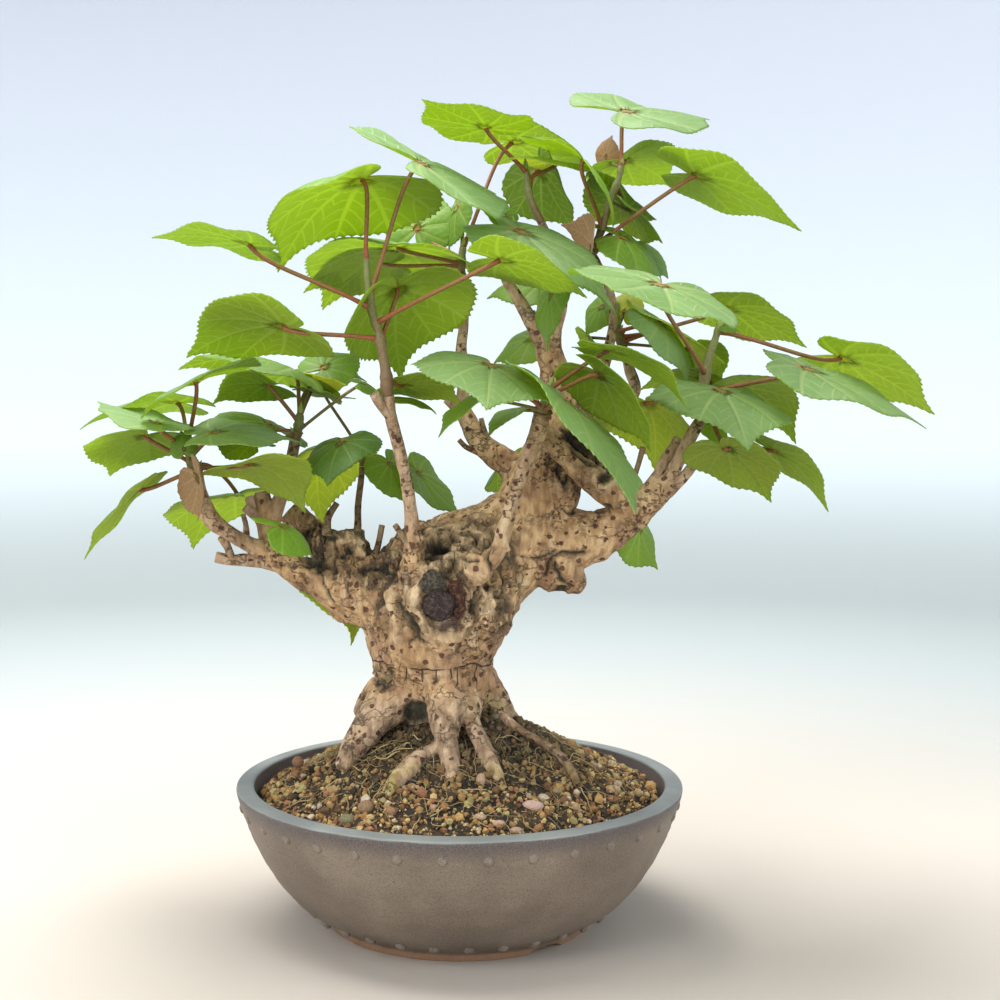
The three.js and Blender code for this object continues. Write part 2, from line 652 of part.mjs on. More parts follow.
        joint: [806, 369, -40], tip: [926.7, 427.1], long: 63.9, show: 0.27, lean: -1, wide: 0.9,
        fall: 0.15, arch: 0.04, at: 0.35,
      },
      {
        joint: [660, 285, -78], tip: [611.3, 290.3], long: 61.5, show: 0.61, sway: 0.13, lean: -1,
        wide: 1.04, fall: 0.22, arch: -0.01, at: 0.5,
      },
      {
        joint: [732, 387.5, 12], tip: [796.5, 442.7], long: 44.5, show: -0.27, sway: 0.04, wide: 1.04,
        fall: 0, arch: 0.18, at: 0.4,
      },
      {
        joint: [721, 391, -34], tip: [749.4, 446.9], long: 60.5, show: -0.41, sway: 0.07, lean: -1,
        wide: 0.98, arch: 0.05, at: 0.3,
      },
      { joint: [708, 380, 22], tip: [640, 390], long: 38, show: -0.5, at: 0.38 },
      {
        joint: [773.3, 450.6, -15], tip: [830, 510.5], long: 41.3, show: -0.31, sway: 0.66, lean: -1,
        wide: 0.87, fall: 0, at: 0.05,
      },
      {
        joint: [727.2, 448, -36], tip: [771, 502.8], long: 39.6, show: -0.62, sway: 0.31, wide: 0.87,
        arch: 0.08, rise: 0.25, at: 0.15,
      },
      {
        joint: [647, 403, 5], tip: [655.1, 469.9], long: 40.4, show: -0.24, sway: 0.16, fall: 1,
        arch: 0.18, at: 0.3,
      },
      { joint: [712, 425, 4], tip: [727, 449], long: 14, show: 0.5, at: 0.08 },
      { joint: [724, 326, -14], tip: [740, 332], long: 9, show: 0.5, at: 0.97 },
    ],
  },
  shoot_front_right: {
    on: "stem_right",
    stem: [[543, 408, -44, 2.6], [547, 398, -45, 2.2], [550, 388, -46, 1.6]],
    leaves: [
      {
        joint: [490.5, 365.2, -75], tip: [487.8, 407.3], long: 58.4, show: 0.38, sway: 0.27, lean: -1,
        arch: 0.03, at: 0.3,
      },
      {
        joint: [566, 402, -70], tip: [635.1, 514.4], long: 69.9, show: 0.18, sway: 0.97, lean: -1,
        wide: 1.17, fall: 0.04, arch: 0.07, at: 0.1,
      },
      {
        joint: [608.7, 350.5, -64], tip: [690.5, 407.9], long: 44.5, show: -0.09, sway: 0.39, lean: -1,
        wide: 0.92, fall: 0, at: 0.95,
      },
      {
        joint: [598.5, 374.5, -60], tip: [649.1, 453.5], long: 41.3, show: -0.25, sway: 0.03, lean: -1,
        wide: 0.94, fall: 0.45, at: 0.7,
      },
      {
        joint: [480, 396, -56], tip: [437.8, 437.1], long: 28.9, show: 0.21, sway: -0.5, lean: -1,
        wide: 0.83, fall: 0.03, arch: 0.08, at: 0.15,
      },
      {
        joint: [518, 409, -28], tip: [489.1, 437.8], long: 21.5, show: 0.37, sway: -0.73, lean: -1,
        wide: 0.95, fall: 0.04, arch: 0.14, at: 0.05,
      },
    ],
  },
  shoot_left: {
    on: "limb_left",
    stem: [[194, 466, -20, 2.4], [190, 456, -20, 2.1], [188, 444, -20, 1.4]],
    leaves: [
      {
        joint: [195.5, 381.3, -41], tip: [211.1, 370.2], long: 43.4, show: 0.26, sway: -0.37, lean: -1,
        wide: 1.15, fall: 0.29, arch: 0.01, at: 0.95,
      },
      {
        joint: [157, 424, -42], tip: [97.5, 400.3], long: 36.5, show: 0.02, sway: 0.05, wide: 0.98,
        fall: 0.02, arch: 0, at: 0.8,
      },
      {
        joint: [213.5, 433, -44], tip: [301.9, 444.6], long: 43.7, show: 0.25, sway: -0.14, fall: 0,
        arch: 0.06, at: 0.6,
      },
      {
        joint: [144.6, 435.7, -25], tip: [109.3, 476.1], long: 41.6, show: -0.41, sway: -0.18,
        wide: 1.02, fall: 0.29, arch: 0.06, at: 0.4,
      },
      {
        joint: [177, 402.4, 0], tip: [80.2, 430.7], long: 53.7, show: -0.08, sway: -0.31, lean: -1,
        wide: 0.98, fall: 0.07, at: 0.9,
      },
      {
        joint: [140, 490, -20], tip: [84.2, 560], long: 32.2, show: 0, sway: 0.35, wide: 1.03, fall: 0,
        arch: 0.04, at: 0.05,
      },
      {
        joint: [248, 464.4, -36], tip: [305.2, 513.1], long: 43.8, show: -0.75, sway: 0.29, wide: 1.05,
        fall: 0, arch: 0.16, at: 0.1,
      },
      { joint: [184, 450, -32], tip: [181, 430], long: 11, show: 0.8, at: 0.5 },
      {
        joint: [236, 494, 19], tip: [192.3, 548.5], long: 55.9, show: 0.2, sway: 0.03, wide: 0.94,
        fall: 0, rise: 0.3, at: 0.25,
      },
      {
        joint: [197, 477, -32], tip: [196, 520.8], long: 24.3, show: -1.05, sway: 0.8, lean: -1,
        wide: 1.14, fall: 0.62, at: 0.35,
      },
    ],
  },
  shoot_left_high: {
    on: "riser_left_stem",
    stem: [[297, 432, -2, 2.4], [299, 424, -2, 2], [300, 414, -2, 1.4]],
    leaves: [
      { joint: [295, 370, 9], tip: [178, 372], long: 62, show: -0.15, wide: 0.9, at: 0.95 },
      {
        joint: [268.2, 385.2, -4], tip: [212.6, 405.9], long: 31.6, show: -0.54, sway: -0.29,
        wide: 1.03, fall: 0.02, at: 0.7,
      },
      {
        joint: [251.8, 443.3, -22], tip: [214.8, 442.2], long: 25.3, show: 0.42, sway: -0.79, lean: -1,
        fall: 0.56, arch: 0.06, at: 0.1,
      },
      {
        joint: [270, 425, 16], tip: [216.3, 418.8], long: 37.7, show: -0.19, sway: -0.1, wide: 1.04,
        fall: 0.51, at: 0.3,
      },
      {
        joint: [313, 381, 12], tip: [346.2, 386.1], long: 20.2, show: -0.27, sway: 0.59, lean: -1,
        wide: 0.92, fall: 0.16, arch: 0.03, at: 0.9,
      },
      {
        joint: [306, 391, 20], tip: [355.9, 399.1], long: 23.1, show: -0.08, sway: -0.1, wide: 1.18,
        fall: 0, arch: -0.01, at: 0.6,
      },
      { joint: [362, 384, 8], tip: [380, 396], long: 14, show: 0.6, at: 0.35 },
      { joint: [323, 368, 30], tip: [362, 357], long: 28, show: 0.8, at: 0.85 },
    ],
  },
  shoot_centre: {
    on: "stem_middle",
    stem: [[362, 461, 20, 1.4], [362, 454, 20, 1.1]],
    leaves: [
      {
        joint: [389.3, 463.5, 10], tip: [406, 506.6], long: 19.3, show: 0.66, sway: 0.46, lean: -1,
        wide: 1.03, fall: 0.56, arch: 0.07, at: 0.7,
      },
      {
        joint: [417.8, 473, 20], tip: [462.5, 517.5], long: 30, show: 0.46, sway: 0.69, lean: -1,
        wide: 1.02, fall: 0, arch: -0.02, at: 0.3,
      },
      {
        joint: [340.6, 443, -6], tip: [327, 484.9], long: 39.4, show: 0.58, sway: -0.35, lean: -1,
        wide: 0.91, arch: 0.04, at: 0.95,
      },
      {
        joint: [325, 447, 40], tip: [323.5, 528.5], long: 52.1, show: -0.13, sway: -0.24, wide: 0.81,
        fall: 0.67, arch: 0.21, at: 0.5,
      },
      {
        joint: [322, 374, 44], tip: [366.9, 382.4], long: 24.9, show: 0.24, sway: -0.15, lean: -1,
        wide: 1.06, fall: 0, at: 0.9,
      },
    ],
  },
};

// Leaves that stand straight on the wood, each from a place inside it.
const lone = {
  leaf_left: {
    root: [278, 552, -6], joint: [281, 527, -41], tip: [312.4, 556.9], long: 27.4, show: 0.27,
    sway: 0.47, fall: 0.7, arch: 0.13,
  },
  leaf_left_low: {
    root: [326, 572, -2], joint: [335, 586, 25], tip: [351.1, 646], long: 35.7, show: 0.36, sway: 0.82,
    lean: -1, wide: 0.94, fall: 0.72, arch: 0.19,
  },
  leaf_right_low: {
    root: [640, 508, -8], joint: [640, 526, 17], tip: [658, 569.5], long: 28.7, show: 0.77, sway: -0.25,
    wide: 0.98, fall: 0.55, arch: -0.06,
  },
  leaf_middle: { root: [512, 468, 12], joint: [504, 462, 35], tip: [499, 497], long: 26, show: 0.8 },
  leaf_crown_front: {
    root: [557, 320, 3], joint: [552, 293, -21], tip: [547.3, 351.9], long: 26.1, show: 0.41, sway: -0.9,
    wide: 0.92, fall: 0.13, arch: 0.06,
  },
  leaf_crown_low: { root: [549, 356, 1], joint: [532, 340, 22], tip: [493, 366], long: 26, show: 0.7 },
  leaf_crown_back: { root: [562, 292, 5], joint: [540, 285, 26], tip: [487, 300], long: 30, show: 0.6 },
};

function shootSolid({ on, stem, leaves }) {
  const base = limbs[on];
  const along = endDirection(base);
  const end = base.at(-1);
  const seat = place(end).addScaledVector(along, seatGap);
  const lead = seat.clone().addScaledVector(along, 2.5);
  const points = [seat, lead, ...stem.map(place)];
  const radii = [end[3] * 0.96, end[3] * 0.92, ...stem.map((p) => p[3])];
  const curve = new THREE.CatmullRomCurve3(points, false, "centripetal");
  const bodies = [tube(points, radii, { sides: 6, startAlong: along })];
  for (const leaf of leaves) {
    const spans = points.length - 1;
    const root = curve.getPoint((1 + leaf.at * (spans - 1)) / spans);
    bodies.push(petiole(leaf, root), blade(leaf));
  }
  return union(bodies);
}

// A lone leaf, less the end of its petiole that is in the wood.
function loneSolid(leaf, wood) {
  const pieces = petiole(leaf, place(leaf.root)).add(blade(leaf)).subtract(wood).decompose();
  return pieces.reduce((most, piece) => (piece.volume() > most.volume() ? piece : most));
}

// The part

const bark = new THREE.MeshStandardMaterial({ color: 0xb0906c, roughness: 0.85, metalness: 0 });
const stoneware = new THREE.MeshStandardMaterial({ color: 0x6d645b, roughness: 0.6, metalness: 0 });
const earth = new THREE.MeshStandardMaterial({ color: 0x4a3a26, roughness: 1, metalness: 0 });
const green = new THREE.MeshStandardMaterial({ color: 0x6f9a35, roughness: 0.5, metalness: 0 });
const netting = new THREE.MeshStandardMaterial({ color: 0x22241f, roughness: 0.6, metalness: 0 });

const bonsai = new THREE.Group();

function add(name, body, material) {
  const mesh = new THREE.Mesh(geometryOf(body), material);
  mesh.name = name;
  bonsai.add(mesh);
}

add("bowl", bowl(), stoneware);
add("drain_net", drainNet(), netting);
add("soil", soilBody().subtract(union(woodSolids({ trunk: limbs.trunk, ...roots }, 0.4))), earth);
add("wood", union([...woodSolids(limbs, 0), ...woodSolids(roots, 0)], 0.3), bark);
for (const [name, shoot] of Object.entries(shoots)) add(name, shootSolid(shoot), green);
const fattened = union(woodSolids(limbs, seatGap));
for (const [name, leaf] of Object.entries(lone)) add(name, loneSolid(leaf, fattened), green);

// The origin lies under the middle of the whole part.
const middle = new THREE.Box3().setFromObject(bonsai).getCenter(new THREE.Vector3());
bonsai.position.set(-middle.x, -middle.y, 0);

export default bonsai;
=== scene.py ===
"""Sea hibiscus bonsai in a round stoneware bowl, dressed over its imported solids.

Metres, +Z up, front towards -Y. Places on the tree are read in the front view, as [x px, y px, depth mm],
with the radius in mm after them on wood.
"""

import bpy
import numpy as np
import openvdb
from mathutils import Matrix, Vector


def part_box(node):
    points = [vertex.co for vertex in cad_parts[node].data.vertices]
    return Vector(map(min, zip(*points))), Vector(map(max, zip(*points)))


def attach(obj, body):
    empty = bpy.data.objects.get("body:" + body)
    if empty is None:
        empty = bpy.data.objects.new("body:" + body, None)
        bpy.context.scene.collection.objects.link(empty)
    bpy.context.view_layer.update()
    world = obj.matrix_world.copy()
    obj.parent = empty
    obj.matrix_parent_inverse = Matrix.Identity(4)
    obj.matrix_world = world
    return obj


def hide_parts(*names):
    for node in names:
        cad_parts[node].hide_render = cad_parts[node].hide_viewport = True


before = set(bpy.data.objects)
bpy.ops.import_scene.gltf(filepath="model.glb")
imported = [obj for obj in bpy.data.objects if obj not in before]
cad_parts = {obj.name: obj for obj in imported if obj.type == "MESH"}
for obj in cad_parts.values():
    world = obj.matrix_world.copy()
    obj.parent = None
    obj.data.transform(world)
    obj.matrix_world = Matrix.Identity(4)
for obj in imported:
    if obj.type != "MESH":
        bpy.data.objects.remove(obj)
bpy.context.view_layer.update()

MM = 0.001

# The front view: the eye's distance before the bowl's axis and its height over the foot, in mm, and the
# view's scale, horizon, middle and size, in px.
EYE_DISTANCE = 768
EYE_HEIGHT = 259
FOCAL = 1515
HORIZON = 403
CENTRE = 459.5
VIEW_SIZE = 1000

# The bowl and its soil, in mm. Its axis stands in the middle of its packed box.
bowl_low, bowl_high = (np.array(corner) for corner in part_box("bowl"))
AXIS = np.array([(bowl_low[0] + bowl_high[0]) / 2, (bowl_low[1] + bowl_high[1]) / 2, 0.0])
FOOT_RADIUS = 66
STUD_RADIUS = 2.7
SOIL_RIM = 63.2
MOUND_HEIGHT = 50
MOUND_RADIUS = 99

# The wood's surface is drawn on a grid of this pitch, and what is thinner than THIN is a smooth tube.
VOXEL = 1.1 * MM
THIN = 3.4 * MM

BLADE_THICKNESS = 0.5 * MM
PETIOLE_RADIUS = 1.1 * MM
SEAT_GAP = 0.3 * MM

# The wood in the front view: each root and limb from where it leaves its parent to its end.
ROOTS = {
    "root_left": [
        [411, 686, -4, 14], [393, 699, -12, 11.2], [377, 716, -17, 9], [364, 733, -22, 8],
        [352, 750, -27, 6.2], [341, 768, -34, 3.4],
    ],
    "root_left_back": [[402, 686, 8, 12], [383, 694, 10, 9.4], [370, 704, 10, 6.6], [361, 716, 10, 4.4]],
    "root_front": [
        [452, 690, -12, 14], [448, 703, -24, 11.6], [446, 718, -31, 8.4], [447, 738, -39, 5.4],
        [450, 758, -46, 4.7], [451, 774, -52, 4.3], [451, 788, -59, 3],
    ],
    "root_front_right": [
        [464, 694, -12, 10], [468, 708, -23, 7], [471, 722, -30, 4.5], [480, 740, -38, 4.1],
        [489, 760, -46, 4.2], [498, 780, -54, 3.4], [506, 794, -61, 2.4],
    ],
    "root_front_left": [
        [447, 742, -38, 3.2], [432, 751, -40, 3.3], [419, 759, -45, 4.3], [408, 769, -51, 4.7],
        [396, 782, -57, 4.2], [385, 796, -63, 2.6],
    ],
    "root_right": [[468, 686, 2, 15], [486, 698, 2, 11], [497, 710, 0, 8.4], [507, 722, -4, 5.5]],
    "root_right_low": [
        [498, 714, -8, 3], [522, 731, -22, 1.8], [546, 745, -30, 1.9], [561, 757, -36, 2.2],
        [570, 769, -42, 2.1], [578, 784, -50, 1.6],
    ],
    "root_back": [[450, 700, 22, 15], [470, 722, 40, 9], [485, 745, 60, 4.5]],
    "root_right_back": [[470, 695, 14, 13], [500, 717, 26, 8], [530, 742, 40, 4]],
}

LIMBS = {
    "trunk": [
        [452, 735, 16, 11], [449, 714, 12, 16], [442, 694, 5, 26], [438, 675, 1, 28.6],
        [438, 658, 0, 28.2], [433, 641, 0, 32], [435, 616, 0, 36], [442, 588, 0, 35.5],
        [460, 562, 2, 29],
    ],
    "burl_front": [[440, 600, -20, 21], [440, 602, -29, 15], [440, 603, -36, 8]],
    "burl_right": [[478, 600, -12, 19], [484, 612, -16, 15], [486, 628, -14, 11]],
    "burl_top": [[420, 580, 4, 22], [455, 552, 8, 20], [480, 540, 10, 17]],
    "limb_left": [
        [430, 600, 0, 27], [385, 592, 0, 20.5], [350, 586, -2, 15], [322, 578, -4, 10.8],
        [298, 571, -6, 7.8], [272, 554, -9, 5.4], [250, 545, -11, 4.1], [232, 535, -14, 3.8],
        [215, 523, -16, 4], [204, 507, -18, 4.3], [200, 492, -19, 3.5], [198, 476, -20, 2.8],
    ],
    "limb_left_low": [
        [290, 568, -4, 5], [265, 562, -6, 3.5], [246, 560, -7, 3.1], [230, 560, -8, 2.8],
        [216, 557, -8, 2.9],
    ],
    "limb_left_spur": [[231, 558, -8, 2.3], [228, 548, -10, 2], [222, 537, -13, 2.3]],
    "twig_left": [[246, 540, -12, 2.2], [246, 526, -13, 1.4], [243, 514, -13, 1.2]],
    "stump_left": [[354, 596, 4, 14], [346, 574, 4, 16.2], [341, 556, 5, 16.2], [338, 538, 6, 14]],
    "stump_left_back": [[345, 562, 20, 12], [322, 543, 24, 9], [303, 524, 25, 7.2], [290, 512, 25, 6.6]],
    "twig_stump": [[326, 540, 12, 2.6], [328, 518, 14, 2], [337, 503, 16, 1.7]],
    "riser_left": [
        [272, 552, -2, 6], [268, 534, 2, 5.2], [266, 516, 4, 5.7], [263, 503, 5, 4.8],
        [262, 493, 5, 3.9],
    ],
    "riser_left_stub": [[260, 516, 4, 3.8], [252, 506, 3, 3], [249, 497, 2, 2.5]],
    "riser_left_knob": [[260, 518, 2, 3.4], [251, 512, 0, 2.6], [245, 507, -1, 2.2]],
    "riser_left_stem": [
        [269, 530, 4, 5], [275, 512, 3, 4.3], [281, 496, 2, 3.5], [288, 474, 0, 3.1],
        [292, 456, -1, 2.9], [295, 441, -2, 2.8],
    ],
    "stem_middle": [
        [350, 550, 12, 3], [357, 532, 18, 2.1], [358, 505, 20, 1.8], [361, 480, 20, 1.7],
        [362, 467, 20, 1.6],
    ],
    "twig_fork": [[370, 566, 4, 3.4], [377, 549, 2, 1.7], [382, 525, 2, 1.6]],
    "stem_front": [
        [412, 590, -22, 10], [413, 566, -32, 6.4], [413, 545, -36, 4.8], [411, 515, -39, 3.3],
        [406, 480, -42, 3], [398, 445, -45, 2.9], [391, 418, -47, 3.1], [388, 396, -48, 2.9],
    ],
    "twig_front": [[413, 548, -36, 3], [404, 538, -40, 1.6], [395, 525, -42, 1.4]],
    "stem_front_stub": [[391, 418, -47, 2.6], [382, 407, -50, 2.4], [374, 394, -53, 2.3]],
    "stem_right": [
        [458, 572, -24, 9], [482, 566, -34, 5.6], [498, 550, -39, 4.2], [506, 528, -42, 3.6],
        [512, 503, -44, 3.3], [520, 478, -45, 3.3], [530, 452, -45, 3.5], [538, 432, -44, 4.3],
        [541, 418, -43, 4.2],
    ],
    "limb_right": [
        [465, 578, 2, 30], [500, 548, 2, 24], [528, 515, 2, 19], [545, 482, 3, 19], [558, 455, 4, 17.5],
        [564, 428, 5, 13.5], [560, 398, 4, 10], [554, 372, 2, 8], [549, 352, 0, 6.6],
    ],
    "ridge_front": [
        [543, 434, -11, 4.6], [562, 452, -15, 5.4], [584, 472, -17, 6.4], [602, 487, -15, 7.2],
        [622, 500, -12, 7.4], [640, 504, -9, 6.4],
    ],
    "ridge_back": [[566, 426, 2, 8], [586, 450, 0, 8.4], [606, 474, -2, 9], [628, 496, -5, 9]],
    "limb_right_low": [
        [512, 558, 2, 18], [540, 547, 0, 16], [570, 541, -2, 15], [598, 535, -4, 12.5],
        [622, 521, -6, 9.4], [640, 508, -8, 7.6], [657, 495, -10, 5.6], [669, 480, -11, 4],
        [678, 462, -12, 3.2], [687, 444, -14, 3.2], [694, 431, -15, 3.2], [698, 424, -16, 3],
    ],
    "knob_right": [[556, 560, -2, 13], [561, 575, -3, 10.6], [571, 581, -4, 7.6], [571, 594, -4, 2.8]],
    "knob_right_low": [[552, 562, -4, 11], [547, 576, -5, 7.6], [544, 583, -5, 4.4]],
    "stem_right_inner": [
        [650, 490, -8, 4], [659, 474, -7, 3.2], [665, 460, -6, 3], [672, 450, -5, 2.7],
        [678, 438, -4, 2.3],
    ],
    "stub_right_outer": [
        [662, 494, -10, 4.4], [676, 484, -11, 3.1], [687, 473, -12, 2.8], [696, 460, -13, 2.4],
    ],
    "twig_right": [[630, 492, -8, 2.4], [634, 478, -7, 1.5], [639, 462, -7, 1.3], [643, 447, -8, 1.5]],
    "limb_middle": [
        [530, 490, 8, 10], [514, 468, 12, 8], [495, 455, 15, 6.4], [480, 442, 17, 5.3],
        [467, 420, 19, 4.6], [461, 405, 20, 3.9],
    ],
    "limb_middle_stub": [[463, 412, 20, 3.8], [454, 404, 19, 3.4], [447, 398, 19, 3]],
    "stem_middle_back": [
        [462, 412, 20, 3.8], [463, 385, 22, 3.2], [461, 350, 25, 3], [464, 320, 27, 2.5],
        [463, 290, 29, 2.2], [462, 273, 30, 2],
    ],
    "twig_middle": [[490, 448, 15, 2.2], [484, 430, 14, 1.5], [481, 418, 14, 1.3]],
    "twig_middle_low": [[478, 452, 15, 2], [466, 447, 12, 1.4], [459, 440, 11, 1.3]],
    "stem_crown_left": [
        [549, 358, 0, 5.4], [540, 338, -2, 4.2], [528, 316, -4, 3.6], [516, 295, -6, 3.1],
        [506, 278, -8, 2.8], [506, 262, -11, 2.3], [510, 248, -14, 2],
    ],
    "stub_crown": [[539, 335, -2, 3.2], [533, 322, -4, 2.7], [531, 311, -5, 2.2]],
    "stem_crown": [
        [552, 352, 2, 4.6], [556, 328, 3, 3], [563, 305, 4, 2.4], [562, 275, 5, 2.2], [552, 245, 2, 2.1],
        [541, 222, -2, 2.1],
    ],
    "stem_crown_right": [
        [564, 412, 8, 6], [590, 388, 16, 3.8], [603, 368, 18, 3.1], [609, 346, 18, 2.8],
        [613, 325, 16, 2.5], [612, 300, 13, 2.2], [603, 276, 8, 2.1], [595, 259, 5, 2.1],
    ],
    "stem_right_back": [
        [574, 424, 10, 6], [612, 412, 19, 3.8], [635, 391, 25, 3.1], [629, 368, 27, 2.8],
        [624, 350, 28, 2.3],
    ],
}

